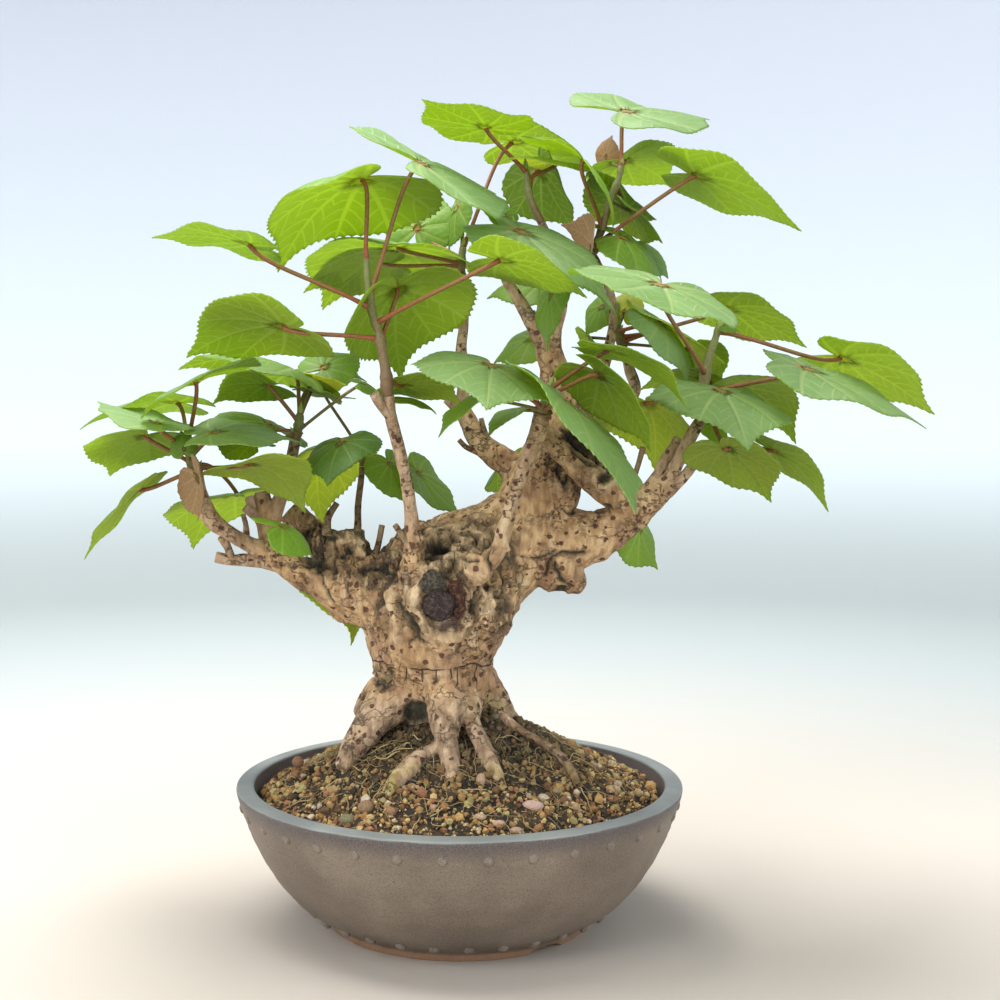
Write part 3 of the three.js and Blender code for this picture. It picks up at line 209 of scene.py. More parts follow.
# Each shoot: the limb that it grows on, its stem on from there, and its leaves. A leaf has its joint and tip
# in the front view and its length in mm. Show and sway turn its upper face to the front and to the right, and
# lean is -1 where its tip comes forward. Wide stretches it, fall lets its sides hang, arch lifts its middle
# and rise lifts its stalk. It starts at a share of the stem, and tone names its colours.
SHOOTS = {
    "shoot_front_left": dict(
        on="stem_front",
        stem=[
            [386, 374, -49, 2.5], [382, 350, -50, 2.3], [378, 330, -50, 2], [372, 312, -50, 1.9],
            [370, 296, -50, 1.8], [367, 275, -50, 1.5], [366, 256, -49, 1.2],
        ],
        leaves=[
            dict(joint=[419.4, 163, -54], tip=[495.4, 193], long=68.6, show=0.04, sway=0.77, wide=1.07,
                 fall=0.1, arch=0.01, at=0.72, tone="pale"),
            dict(joint=[362, 180, -48], tip=[276, 269.8], long=69.7, show=-0.24, sway=-0.19, fall=0.53,
                 at=0.97, tone="lit"),
            dict(joint=[249.2, 244.2, -56], tip=[151.2, 237.6], long=42.6, show=-0.17, sway=-0.14,
                 wide=0.89, fall=0.01, arch=0.05, at=0.6, tone="pale"),
            dict(joint=[283.4, 326.4, -62], tip=[185.8, 358.7], long=51.1, show=-0.59, sway=-0.12,
                 fall=0, at=0.36),
            dict(joint=[397, 289.4, -34], tip=[401.7, 379.6], long=56.3, show=0.07, sway=-0.28,
                 wide=1.02, fall=1, at=0.34, tone="lit"),
            dict(joint=[500.3, 259.9, -82], tip=[585.8, 300.7], long=43.2, show=-0.29, sway=-0.48,
                 lean=-1, wide=1.02, fall=0, arch=0.08, at=0.48),
            dict(joint=[402.3, 385, -30], tip=[463, 404.4], long=34.6, show=-0.21, sway=-0.21, wide=0.93,
                 fall=0, arch=0.07, at=0.12),
            dict(joint=[397, 399, -22], tip=[436.2, 415.7], long=14.4, show=0.17, sway=0.36, lean=-1,
                 wide=0.8, fall=0.12, arch=0.13, at=0.05),
        ],
    ),
    "shoot_middle": dict(
        on="stem_middle_back",
        stem=[[462, 262, 31, 1.8], [463, 247, 31, 1.3]],
        leaves=[
            dict(joint=[398, 247.3, 24], tip=[322.5, 313], long=73.8, show=-0.08, sway=0.07, wide=0.97,
                 fall=0.24, at=0.3, tone="lit"),
            dict(joint=[380, 262, 52], tip=[303, 293], long=42, show=-0.5, at=0.1),
            dict(joint=[458, 206, 36], tip=[450, 255], long=34, show=0.9, at=0.9),
            dict(joint=[417, 229, 40], tip=[440, 190], long=30, show=0.9, at=0.6),
            dict(joint=[512.9, 142.4, 50], tip=[586.8, 172.8], long=44, show=-0.25, sway=0.44, lean=-1,
                 fall=0, arch=0.14, at=0.95),
        ],
    ),
    "shoot_crown_left": dict(
        on="stem_crown_left",
        stem=[[513, 238, -16, 1.6], [513, 228, -17, 1.3]],
        leaves=[
            dict(joint=[518.6, 231.2, -34.5], tip=[616.9, 313.3], long=63.7, show=0.58, sway=0.48,
                 lean=-1, wide=0.89, fall=0.21, arch=0.08, at=0.5, tone="pale"),
            dict(joint=[505, 214, -12], tip=[480, 200], long=16, show=0.5, at=0.95),
        ],
    ),
    "shoot_crown": dict(
        on="stem_crown",
        stem=[[534, 208, -4, 1.9], [530, 198, -5, 1.8], [527, 182, -5, 1.5], [526, 170, -5, 1.2]],
        leaves=[
            dict(joint=[486, 127.8, -15], tip=[421.9, 100.3], long=46.7, show=-0.95, sway=0.89, lean=-1,
                 wide=1.08, fall=0, arch=0, at=0.95),
            dict(joint=[541, 171, 33], tip=[575.2, 231.2], long=36.8, show=-0.35, sway=0.16, wide=1.11,
                 fall=0.86, arch=-0.04, at=0.6, tone="dark"),
            dict(joint=[556, 162, 5], tip=[507, 159], long=35.6, show=0.97, sway=-0.73, lean=-1,
                 wide=0.95, fall=0.23, arch=0.03, at=0.8, tone="lime"),
        ],
    ),
    "shoot_top": dict(
        on="stem_crown_right",
        stem=[
            [596, 245, 4, 1.9], [604, 222, 2, 1.8], [612, 195, 1, 1.7], [619, 178, 0, 1.5],
            [621, 166, 0, 1.2],
        ],
        leaves=[
            dict(joint=[625.8, 112, 0], tip=[708.2, 122.3], long=53, show=0.37, sway=0.22, wide=1.14,
                 fall=0, arch=0.03, at=0.97, tone="pale"),
            dict(joint=[583.7, 161, -17], tip=[595.1, 179.8], long=53.3, show=0.42, sway=0.85, fall=0.67,
                 arch=0, at=0.35, tone="lit"),
            dict(joint=[625, 160.3, 22], tip=[672.1, 185.1], long=40.4, show=-0.14, sway=-0.31,
                 fall=0.01, arch=0.05, at=0.9, tone="lit"),
            dict(joint=[606, 157, 26], tip=[612, 135], long=12, show=0.3, at=0.96, tone="dry"),
            dict(joint=[628, 207, 25], tip=[588.9, 165], long=34.3, show=-0.01, sway=0.09, lean=-1,
                 wide=1.1, fall=0.61, arch=-0.01, at=0.7, tone="dark"),
            dict(joint=[630, 210, 14], tip=[661.9, 244.1], long=26.4, show=-0.26, sway=0.74, lean=-1,
                 wide=1.15, fall=0.53, arch=0.05, at=0.55),
            dict(joint=[696, 175.4, -15], tip=[802.2, 230.2], long=61.9, show=-0.08, sway=0.92, lean=-1,
                 wide=0.98, fall=0, arch=0.05, at=0.2, tone="lit"),
            dict(joint=[591, 250, -8], tip=[562, 223.9], long=24.9, show=-1.16, sway=0.31, wide=1.11,
                 fall=0, arch=0.17, at=0.05, tone="dry"),
            dict(joint=[620.7, 237.5, -3], tip=[661.5, 284.9], long=35.2, show=0.57, sway=0.72,
                 wide=1.03, fall=0.49, arch=0.14, at=0.2),
            dict(joint=[640, 252, 12], tip=[668, 279], long=20, show=0.8, at=0.1, tone="pale"),
        ],
    ),
    "shoot_right_back": dict(
        on="stem_right_back",
        stem=[[621, 342, 28, 2], [619, 332, 27, 1.7], [619, 326, 27, 1.3]],
        leaves=[
            dict(joint=[727, 308, 22], tip=[806.2, 348.2], long=46.6, show=-0.25, wide=0.98, fall=0.1,
                 arch=0.04, at=0.3),
            dict(joint=[660, 323, 2], tip=[686.2, 386.3], long=36.7, show=0.43, sway=0.7, lean=-1,
                 wide=0.94, fall=0.47, at=0.7, tone="pale"),
            dict(joint=[668, 330, 24], tip=[723.2, 364.9], long=50.3, show=0.06, sway=0.91, lean=-1,
                 wide=1.14, fall=0.3, arch=0.02, at=0.5, tone="lime"),
            dict(joint=[698, 350, 30], tip=[722, 384], long=24, show=-0.6, at=0.1),
            dict(joint=[603, 306, 34], tip=[586, 338], long=20, show=0.6, at=0.95),
            dict(joint=[624, 312, 32], tip=[636, 290], long=16, show=0.6, at=0.95, tone="yellow"),
            dict(joint=[590, 338, 40], tip=[592, 366], long=18, show=0.6, at=0.4),
        ],
    ),
    "shoot_right": dict(
        on="limb_right_low",
        stem=[
            [701, 405, -16, 2.6], [703, 390, -16, 2.4], [708, 360, -15, 2.1], [715, 340, -14, 1.8],
            [719, 327, -14, 1.3],
        ],
        leaves=[
            dict(joint=[841, 358, -5], tip=[935.4, 412.9], long=47.8, show=-0.31, sway=-0.21, wide=0.98,
                 fall=0.22, arch=0.05, at=0.93, tone="lit"),
            dict(joint=[806, 369, -40], tip=[926.7, 427.1], long=63.9, show=0.27, lean=-1, wide=0.9,
                 fall=0.15, arch=0.04, at=0.35, tone="pale"),
            dict(joint=[660, 285, -78], tip=[611.3, 290.3], long=61.5, show=0.61, sway=0.13, lean=-1,
                 wide=1.04, fall=0.22, arch=-0.01, at=0.5, tone="pale"),
            dict(joint=[732, 387.5, 12], tip=[796.5, 442.7], long=44.5, show=-0.27, sway=0.04, wide=1.04,
                 fall=0, arch=0.18, at=0.4, tone="lit"),
            dict(joint=[721, 391, -34], tip=[749.4, 446.9], long=60.5, show=-0.41, sway=0.07, lean=-1,
                 wide=0.98, arch=0.05, at=0.3, tone="pale"),
            dict(joint=[708, 380, 22], tip=[640, 390], long=38, show=-0.5, at=0.38),
            dict(joint=[773.3, 450.6, -15], tip=[830, 510.5], long=41.3, show=-0.31, sway=0.66, lean=-1,
                 wide=0.87, fall=0, at=0.05, tone="lit"),
            dict(joint=[727.2, 448, -36], tip=[771, 502.8], long=39.6, show=-0.62, sway=0.31, wide=0.87,
                 arch=0.08, rise=0.25, at=0.15),
            dict(joint=[647, 403, 5], tip=[655.1, 469.9], long=40.4, show=-0.24, sway=0.16, fall=1,
                 arch=0.18, at=0.3, tone="lime"),
            dict(joint=[712, 425, 4], tip=[727, 449], long=14, show=0.5, at=0.08),
            dict(joint=[724, 326, -14], tip=[740, 332], long=9, show=0.5, at=0.97),
        ],
    ),
    "shoot_front_right": dict(
        on="stem_right",
        stem=[[543, 408, -44, 2.6], [547, 398, -45, 2.2], [550, 388, -46, 1.6]],
        leaves=[
            dict(joint=[490.5, 365.2, -75], tip=[487.8, 407.3], long=58.4, show=0.38, sway=0.27, lean=-1,
                 arch=0.03, at=0.3, tone="pale"),
            dict(joint=[566, 402, -70], tip=[635.1, 514.4], long=69.9, show=0.18, sway=0.97, lean=-1,
                 wide=1.17, fall=0.04, arch=0.07, at=0.1, tone="pale"),
            dict(joint=[608.7, 350.5, -64], tip=[690.5, 407.9], long=44.5, show=-0.09, sway=0.39,
                 lean=-1, wide=0.92, fall=0, at=0.95, tone="lit"),
            dict(joint=[598.5, 374.5, -60], tip=[649.1, 453.5], long=41.3, show=-0.25, sway=0.03,
                 lean=-1, wide=0.94, fall=0.45, at=0.7, tone="lit"),
            dict(joint=[480, 396, -56], tip=[437.8, 437.1], long=28.9, show=0.21, sway=-0.5, lean=-1,
                 wide=0.83, fall=0.03, arch=0.08, at=0.15),
            dict(joint=[518, 409, -28], tip=[489.1, 437.8], long=21.5, show=0.37, sway=-0.73, lean=-1,
                 wide=0.95, fall=0.04, arch=0.14, at=0.05),
        ],
    ),
    "shoot_left": dict(
        on="limb_left",
        stem=[[194, 466, -20, 2.4], [190, 456, -20, 2.1], [188, 444, -20, 1.4]],
        leaves=[
            dict(joint=[195.5, 381.3, -41], tip=[211.1, 370.2], long=43.4, show=0.26, sway=-0.37,
                 lean=-1, wide=1.15, fall=0.29, arch=0.01, at=0.95, tone="pale"),
            dict(joint=[157, 424, -42], tip=[97.5, 400.3], long=36.5, show=0.02, sway=0.05, wide=0.98,
                 fall=0.02, arch=0, at=0.8, tone="pale"),
            dict(joint=[213.5, 433, -44], tip=[301.9, 444.6], long=43.7, show=0.25, sway=-0.14, fall=0,
                 arch=0.06, at=0.6, tone="pale"),
            dict(joint=[144.6, 435.7, -25], tip=[109.3, 476.1], long=41.6, show=-0.41, sway=-0.18,
                 wide=1.02, fall=0.29, arch=0.06, at=0.4, tone="lit"),
            dict(joint=[177, 402.4, 0], tip=[80.2, 430.7], long=53.7, show=-0.08, sway=-0.31, lean=-1,
                 wide=0.98, fall=0.07, at=0.9, tone="pale"),
            dict(joint=[140, 490, -20], tip=[84.2, 560], long=32.2, show=0, sway=0.35, wide=1.03, fall=0,
                 arch=0.04, at=0.05),
            dict(joint=[248, 464.4, -36], tip=[305.2, 513.1], long=43.8, show=-0.75, sway=0.29,
                 wide=1.05, fall=0, arch=0.16, at=0.1, tone="lime"),
            dict(joint=[184, 450, -32], tip=[181, 430], long=11, show=0.8, at=0.5),
            dict(joint=[236, 494, 19], tip=[192.3, 548.5], long=55.9, show=0.2, sway=0.03, wide=0.94,
                 fall=0, rise=0.3, at=0.25, tone="lit"),
            dict(joint=[197, 477, -32], tip=[196, 520.8], long=24.3, show=-1.05, sway=0.8, lean=-1,
                 wide=1.14, fall=0.62, at=0.35, tone="dry"),
        ],
    ),
    "shoot_left_high": dict(
        on="riser_left_stem",
        stem=[[297, 432, -2, 2.4], [299, 424, -2, 2], [300, 414, -2, 1.4]],
        leaves=[
            dict(joint=[295, 370, 9], tip=[178, 372], long=62, show=-0.15, wide=0.9, at=0.95),
            dict(joint=[268.2, 385.2, -4], tip=[212.6, 405.9], long=31.6, show=-0.54, sway=-0.29,
                 wide=1.03, fall=0.02, at=0.7),
            dict(joint=[251.8, 443.3, -22], tip=[214.8, 442.2], long=25.3, show=0.42, sway=-0.79,
                 lean=-1, fall=0.56, arch=0.06, at=0.1),
            dict(joint=[270, 425, 16], tip=[216.3, 418.8], long=37.7, show=-0.19, sway=-0.1, wide=1.04,
                 fall=0.51, at=0.3),
            dict(joint=[313, 381, 12], tip=[346.2, 386.1], long=20.2, show=-0.27, sway=0.59, lean=-1,
                 wide=0.92, fall=0.16, arch=0.03, at=0.9, tone="yellow"),
            dict(joint=[306, 391, 20], tip=[355.9, 399.1], long=23.1, show=-0.08, sway=-0.1, wide=1.18,
                 fall=0, arch=-0.01, at=0.6),
            dict(joint=[362, 384, 8], tip=[380, 396], long=14, show=0.6, at=0.35),
            dict(joint=[323, 368, 30], tip=[362, 357], long=28, show=0.8, at=0.85),
        ],
    ),
    "shoot_centre": dict(
        on="stem_middle",
        stem=[[362, 461, 20, 1.4], [362, 454, 20, 1.1]],
        leaves=[
            dict(joint=[389.3, 463.5, 10], tip=[406, 506.6], long=19.3, show=0.66, sway=0.46, lean=-1,
                 wide=1.03, fall=0.56, arch=0.07, at=0.7),
            dict(joint=[417.8, 473, 20], tip=[462.5, 517.5], long=30, show=0.46, sway=0.69, lean=-1,
                 wide=1.02, fall=0, arch=-0.02, at=0.3),
            dict(joint=[340.6, 443, -6], tip=[327, 484.9], long=39.4, show=0.58, sway=-0.35, lean=-1,
                 wide=0.91, arch=0.04, at=0.95, tone="dark"),
            dict(joint=[325, 447, 40], tip=[323.5, 528.5], long=52.1, show=-0.13, sway=-0.24, wide=0.81,
                 fall=0.67, arch=0.21, at=0.5, tone="lime"),
            dict(joint=[322, 374, 44], tip=[366.9, 382.4], long=24.9, show=0.24, sway=-0.15, lean=-1,
                 wide=1.06, fall=0, at=0.9),
        ],
    ),
}

LONE_LEAVES = {
    "leaf_left": dict(
        root=[278, 552, -6], joint=[281, 527, -41], tip=[312.4, 556.9], long=27.4, show=0.27, sway=0.47,
        fall=0.7, arch=0.13, tone="bright",
    ),
    "leaf_left_low": dict(
        root=[326, 572, -2], joint=[335, 586, 25], tip=[351.1, 646], long=35.7, show=0.36, sway=0.82,
        lean=-1, wide=0.94, fall=0.72, arch=0.19, tone="lime",
    ),
    "leaf_right_low": dict(
        root=[640, 508, -8], joint=[640, 526, 17], tip=[658, 569.5], long=28.7, show=0.77, sway=-0.25,
        wide=0.98, fall=0.55, arch=-0.06,
    ),
    "leaf_middle": dict(
        root=[512, 468, 12], joint=[504, 462, 35], tip=[499, 497], long=26, show=0.8, tone="dark",
    ),
    "leaf_crown_front": dict(
        root=[557, 320, 3], joint=[552, 293, -21], tip=[547.3, 351.9], long=26.1, show=0.41, sway=-0.9,
        wide=0.92, fall=0.13, arch=0.06,
    ),
    "leaf_crown_low": dict(
        root=[549, 356, 1], joint=[532, 340, 22], tip=[493, 366], long=26, show=0.7,
    ),
    "leaf_crown_back": dict(
        root=[562, 292, 5], joint=[540, 285, 26], tip=[487, 300], long=30, show=0.6,
    ),
}

# Leaf colours by tone, as those of the upper and the under face. Pale is a greyed copy of green, a painted
# sheen of the sky on leaves lit from above; bright and lit are lighter copies of green for leaves in more
# light, painted light; dark is a darker copy for leaves in shade, painted shade.
TONES = {
    "green": ((0.16, 0.30, 0.035), (0.31, 0.40, 0.032)),
    "pale": ((0.21, 0.34, 0.14), (0.29, 0.43, 0.07)),
    "dark": ((0.065, 0.18, 0.028), (0.17, 0.26, 0.030)),
    "bright": ((0.18, 0.38, 0.035), (0.33, 0.47, 0.038)),
    "lit": ((0.17, 0.33, 0.035), (0.37, 0.49, 0.038)),
    "lime": ((0.38, 0.52, 0.06), (0.43, 0.57, 0.07)),
    "yellow": ((0.62, 0.60, 0.07), (0.64, 0.62, 0.09)),
    "dry": ((0.42, 0.21, 0.095), (0.48, 0.27, 0.14)),
}
# Which of the leaf finishes a tone has, where it isn't the first. Stems, stalks and buds have the last.
MATERIAL_OF_TONE = {"yellow": 1, "lime": 1, "dry": 2}
STALK_MATERIAL = 3
PETIOLE_RED = (0.33, 0.085, 0.035)
PETIOLE_GREEN = (0.16, 0.20, 0.045)
STEM_GREEN = (0.20, 0.21, 0.06)
STEM_BROWN = (0.22, 0.13, 0.065)
BUD_GREEN = (0.30, 0.38, 0.08)


# Places and curves


def place(points):
    """Points in metres from rows of x px, y px and depth: mm per px is (eye distance + depth) / focal."""
    points = np.atleast_2d(np.asarray(points, float))
    scale = (EYE_DISTANCE + points[:, 2]) / FOCAL
    x = (points[:, 0] - CENTRE) * scale
    z = EYE_HEIGHT - (points[:, 1] - HORIZON) * scale
    return np.stack([x, points[:, 2], z], axis=1) * MM + AXIS


def seen(points):
    """The front view's x px and y px of points in metres, the inverse of place."""
    local = (points - AXIS) / MM
    scale = (EYE_DISTANCE + local[:, 1]) / FOCAL
    return local[:, 0] / scale + CENTRE, HORIZON + (EYE_HEIGHT - local[:, 2]) / scale


def unit(v):
    return v / np.maximum(np.linalg.norm(v, axis=-1, keepdims=True), 1e-12)


def smooth(start, end, x):
    """0 before start, 1 after end, and 3t^2 - 2t^3 between."""
    t = np.clip((x - start) / (end - start), 0, 1)
    return t * t * (3 - 2 * t)


def mixed(a, b, share):
    """Rows of a blended towards rows of b by a share each."""
    share = np.asarray(share)[..., None]
    return np.asarray(a) * (1 - share) + np.asarray(b) * share


# The noise's lattice. Cells are counted from far outside the tree, so that none has a number below 0.
LATTICE_SIZE = 32
LATTICE_START = 100
LATTICE_SEED = 7
LATTICE = np.random.default_rng(LATTICE_SEED).random((LATTICE_SIZE,) * 3)


def noise(points, size):
    """Values from -1 to 1 that change over `size` metres: random lattice values blended by cubic weights."""
    p = points / size + LATTICE_START
    cell = np.floor(p).astype(int)
    t = p - cell
    t = t * t * (3 - 2 * t)
    total = np.zeros(len(points))
    for corner in np.ndindex(2, 2, 2):
        weight = np.prod(np.where(corner, t, 1 - t), axis=1)
        i, j, k = ((cell + corner) % LATTICE_SIZE).T
        total += weight * LATTICE[i, j, k]
    return 2 * total - 1


def ridges(points, size):
    """Values up to 1 along winding lines about `size` metres apart: 1 less the noise's size, sharpened."""
    return 1 - np.abs(noise(points, size)) * 2


def catmull(points, t):
    """Points at shares t of a centripetal Catmull-Rom curve: cubics whose end slopes weigh both spans."""
    points = np.asarray(points, float)
    p = np.vstack([2 * points[0] - points[1], points, 2 * points[-1] - points[-2]])
    spans = len(points) - 1
    at = np.clip(np.asarray(t, float) * spans, 0, spans - 1e-9)
    k = np.floor(at).astype(int)
    w = (at - k)[:, None]
    gaps = np.sqrt(np.linalg.norm(np.diff(p, axis=0), axis=1, keepdims=True)) + 1e-9
    p0, p1, p2, p3 = p[k], p[k + 1], p[k + 2], p[k + 3]
    d0, d1, d2 = gaps[k], gaps[k + 1], gaps[k + 2]
    m1 = ((p1 - p0) / d0 - (p2 - p0) / (d0 + d1) + (p2 - p1) / d1) * d1
    m2 = ((p2 - p1) / d1 - (p3 - p1) / (d1 + d2) + (p3 - p2) / d2) * d1
    return ((2 * p1 - 2 * p2 + m1 + m2) * w - 3 * p1 + 3 * p2 - 2 * m1 - m2) * w * w + m1 * w + p1


def bezier(points, t):
    """Points at shares t of the cubic Bezier curve of four control points."""
    a, b, c, d = (np.asarray(p, float) for p in points)
    t = np.asarray(t, float)[:, None]
    s = 1 - t
    return a * s**3 + 3 * b * t * s * s + 3 * c * t * t * s + d * t**3


# Meshes


def add_layer(mesh, label, rows, beyond=(0, 0, 0)):
    """A vector attribute: rows for the first vertices, and one value for all that come after them."""
    padding = np.tile(beyond, (len(mesh.vertices) - len(rows), 1))
    layer = mesh.attributes.new(label, "FLOAT_VECTOR", "POINT")
    layer.data.foreach_set("vector", np.vstack([rows, padding]).astype(np.float32).ravel())


class Patchwork:
    """Gathers patches of vertices, each with a tint and a mark, and their faces, into one mesh."""

    def __init__(self):
        self.points = []
        self.tints = []
        self.marks = []
        self.faces = []
        self.count = 0

    def add(self, points, tint, mark=(0, 0, 0)):
        """New vertices, which the next faces are counted from."""
        self.base = self.count
        self.points.append(points)
        self.tints.append(np.broadcast_to(np.asarray(tint, float), (len(points), 3)))
        self.marks.append(np.broadcast_to(np.asarray(mark, float), (len(points), 3)))
        self.count += len(points)

    def face(self, corners, material=0, shaded=True):
        """Triangles or quads between the vertices that were added last."""
        self.faces.append((np.asarray(corners) + self.base, material, shaded))

    def piece(self, name, nodes, materials):
        """The finished piece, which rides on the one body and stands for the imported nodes."""
        loops = np.concatenate([corners.ravel() for corners, _, _ in self.faces])
        sizes = np.concatenate([np.full(len(c), c.shape[1]) for c, _, _ in self.faces])
        picks = np.concatenate([np.full(len(c), material) for c, material, _ in self.faces])
        shaded = np.concatenate([np.full(len(c), smoothly) for c, _, smoothly in self.faces])
        points = np.concatenate(self.points)
        mesh = bpy.data.meshes.new(name)
        mesh.vertices.add(len(points))
        mesh.vertices.foreach_set("co", points.astype(np.float32).ravel())
        mesh.loops.add(len(loops))
        mesh.loops.foreach_set("vertex_index", loops.astype(np.int32))
        mesh.polygons.add(len(sizes))
        mesh.polygons.foreach_set("loop_start", (np.cumsum(sizes) - sizes).astype(np.int32))
        mesh.polygons.foreach_set("material_index", picks.astype(np.int32))
        mesh.polygons.foreach_set("use_smooth", shaded)
        mesh.update(calc_edges=True)
        add_layer(mesh, "tint", np.concatenate(self.tints))
        add_layer(mesh, "marks", np.concatenate(self.marks))
        for material in materials:
            mesh.materials.append(material)
        made = bpy.data.objects.new(name, mesh)
        bpy.context.scene.collection.objects.link(made)
        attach(made, "root")
        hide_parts(*nodes)
        return made


def grid_quads(rows, columns):
    """Quads between the rows of a grid whose last column joins its first."""
    i, j = np.meshgrid(np.arange(rows - 1), np.arange(columns), indexing="ij")
    here = (i * columns + j).ravel()
    right = (i * columns + (j + 1) % columns).ravel()
    return np.stack([here, right, right + columns, here + columns], axis=1)


def fan(centre, ring):
    """Triangles from a centre to each side of a ring."""
    ring = np.asarray(ring)
    return np.stack([np.full(len(ring), centre), ring, np.roll(ring, -1)], axis=1)


def rings_along(path, radii, sides):
    """Rings along a path, whose normal never twists: each is centre + radius (cos a normal + sin a side)."""
    tangent = unit(np.gradient(path, axis=0))
    normals = np.empty_like(path)
    normal = np.cross([0.0, 1.0, 0.0], tangent[0])
    if np.linalg.norm(normal) < 0.2:
        normal = np.array([1.0, 0.0, 0.0])
    for i, along in enumerate(tangent):
        normal = unit(normal - along * normal.dot(along))
        normals[i] = normal
    side = np.cross(tangent, normals)
    turn = np.arange(sides) / sides * 2 * np.pi
    spokes = np.cos(turn)[:, None] * normals[:, None] + np.sin(turn)[:, None] * side[:, None]
    return path[:, None] + np.asarray(radii)[:, None, None] * spokes


def on_tube(value, sides):
    """A tint or mark for a tube's vertices: one for all, or a row for each ring, repeated round it."""
    if np.ndim(value) == 1:
        return value
    return np.vstack([np.repeat(value, sides, axis=0), value[:1], value[-1:]])


def add_tube(work, path, radii, sides, tint, material=0, mark=(0, 0, 0)):
    """A closed tube: rings_along, with a fan at each end. A tint or mark may have a row for each ring."""
    rows = len(path)
    rings = rings_along(path, radii, sides).reshape(-1, 3)
    work.add(np.vstack([rings, path[:1], path[-1:]]), on_tube(tint, sides), on_tube(mark, sides))
    work.face(grid_quads(rows, sides), material)
    work.face(fan(rows * sides, np.arange(sides)[::-1]), material)
    work.face(fan(rows * sides + 1, np.arange(sides) + (rows - 1) * sides), material)


# The wood

# Distances hold within a band of the surface, and are far beyond it. A limb's end is cut this share of its
# radius past its last place.
FAR = 20 * MM
BAND = 6 * MM
END_BULGE = 0.15
# How widely a limb is blended in: a share of its mean radius, within two limits.
BLEND_SHARE = 0.25
BLEND_LEAST = 1.2 * MM
BLEND_MOST = 4 * MM


class WoodField:
    """Distances to the wood's surface on a grid, less than 0 inside, and the girth of the limb there."""

    def __init__(self, low, high):
        self.low = low
        self.shape = np.ceil((high - low) / VOXEL).astype(int) + 1
        self.distance = np.full(self.shape, FAR, np.float32)
        self.girth = np.zeros(self.shape, np.float32)

    def window(self, low, high):
        """The slices of the grid that hold a box."""
        first = np.maximum(np.floor((low - self.low) / VOXEL).astype(int), 0)
        last = np.minimum(np.ceil((high - self.low) / VOXEL).astype(int) + 1, self.shape)
        return [slice(a, b) for a, b in zip(first, last)]

    def axes(self, window):
        """The places along each axis of the slices of a window."""
        return np.ix_(*(self.low[k] + VOXEL * np.arange(window[k].start, window[k].stop) for k in range(3)))

    def grow(self, path, radii):
        """Adds a limb: the least distance to the cones between its rings, cut flat at its end, blended in.

        The blend is a smooth minimum: b + (a - b) h - k h (1 - h), with h half of 1 + (b - a) / k, clipped.
        """
        pad = radii.max() + BAND
        window = self.window(path.min(axis=0) - pad, path.max(axis=0) + pad)
        own = np.full([s.stop - s.start for s in window], FAR, np.float32)
        girth = np.zeros_like(own)
        for a, b, start, end in zip(path[:-1], path[1:], radii[:-1], radii[1:]):
            pad = max(start, end) + BAND
            part = self.window(np.minimum(a, b) - pad, np.maximum(a, b) + pad)
            inner = tuple(slice(p.start - w.start, p.stop - w.start) for p, w in zip(part, window))
            x, y, z = (axis - start_at for axis, start_at in zip(self.axes(part), a))
            ab = b - a
            t = np.clip((x * ab[0] + y * ab[1] + z * ab[2]) / ab.dot(ab), 0, 1)
            radius = start + (end - start) * t
            gap = np.sqrt((x - t * ab[0]) ** 2 + (y - t * ab[1]) ** 2 + (z - t * ab[2]) ** 2) - radius
            nearer = gap < own[inner]
            own[inner] = np.where(nearer, gap, own[inner])
            girth[inner] = np.where(nearer, radius, girth[inner])
        along = unit(path[-1] - path[-2])
        x, y, z = (axis - end_at for axis, end_at in zip(self.axes(window), path[-1]))
        own = np.maximum(own, x * along[0] + y * along[1] + z * along[2] - END_BULGE * radii[-1])
        window = tuple(window)
        before = self.distance[window]
        k = np.clip(BLEND_SHARE * radii.mean(), BLEND_LEAST, BLEND_MOST)
        h = np.clip(0.5 + 0.5 * (before - own) / k, 0, 1)
        near = own < BAND
        self.distance[window] = np.where(near, before + (own - before) * h - k * h * (1 - h), before)
        self.girth[window] = np.where(near, self.girth[window] * (1 - h) + girth * h, self.girth[window])

    def at(self, values, points):
        """The grid's value nearest to each point."""
        i, j, k = np.clip(np.rint((points - self.low) / VOXEL).astype(int), 0, self.shape - 1).T
        return values[i, j, k]

    def surface(self):
        """Points, triangles and quads where the distance is 0."""
        grid = openvdb.FloatGrid(FAR)
        grid.copyFromArray(self.distance)
        grid.transform = openvdb.createLinearTransform(voxelSize=VOXEL)
        points, triangles, quads = grid.convertToPolygons(0.0, 0.0)
        return points.astype(float) + self.low, triangles, quads


LIMB_STEPS = 6


def drawn_limbs():
    """Each root and limb as a fine path and its radii."""
    drawn = []
    for rows in [*LIMBS.values(), *ROOTS.values()]:
        rows = np.array(rows, float)
        share = np.linspace(0, 1, LIMB_STEPS * (len(rows) - 1) + 1)
        path = catmull(place(rows[:, :3]), share)
        radii = np.interp(share, np.linspace(0, 1, len(rows)), rows[:, 3]) * MM
        drawn.append((path, radii))
    return drawn


def vertex_normals(points, faces):
    """The unit sum at each vertex of its faces' normals, each the cross product of the diagonals."""
    total = np.zeros_like(points)
    for corners in faces:
        if len(corners):
            first, second, third, last = (points[corners[:, k]] for k in (0, 1, 2, -1))
            normal = np.cross(third - first, last - second)
            for column in corners.T:
                for k in range(3):
                    total[:, k] += np.bincount(column, normal[:, k], len(points))
    return unit(total)
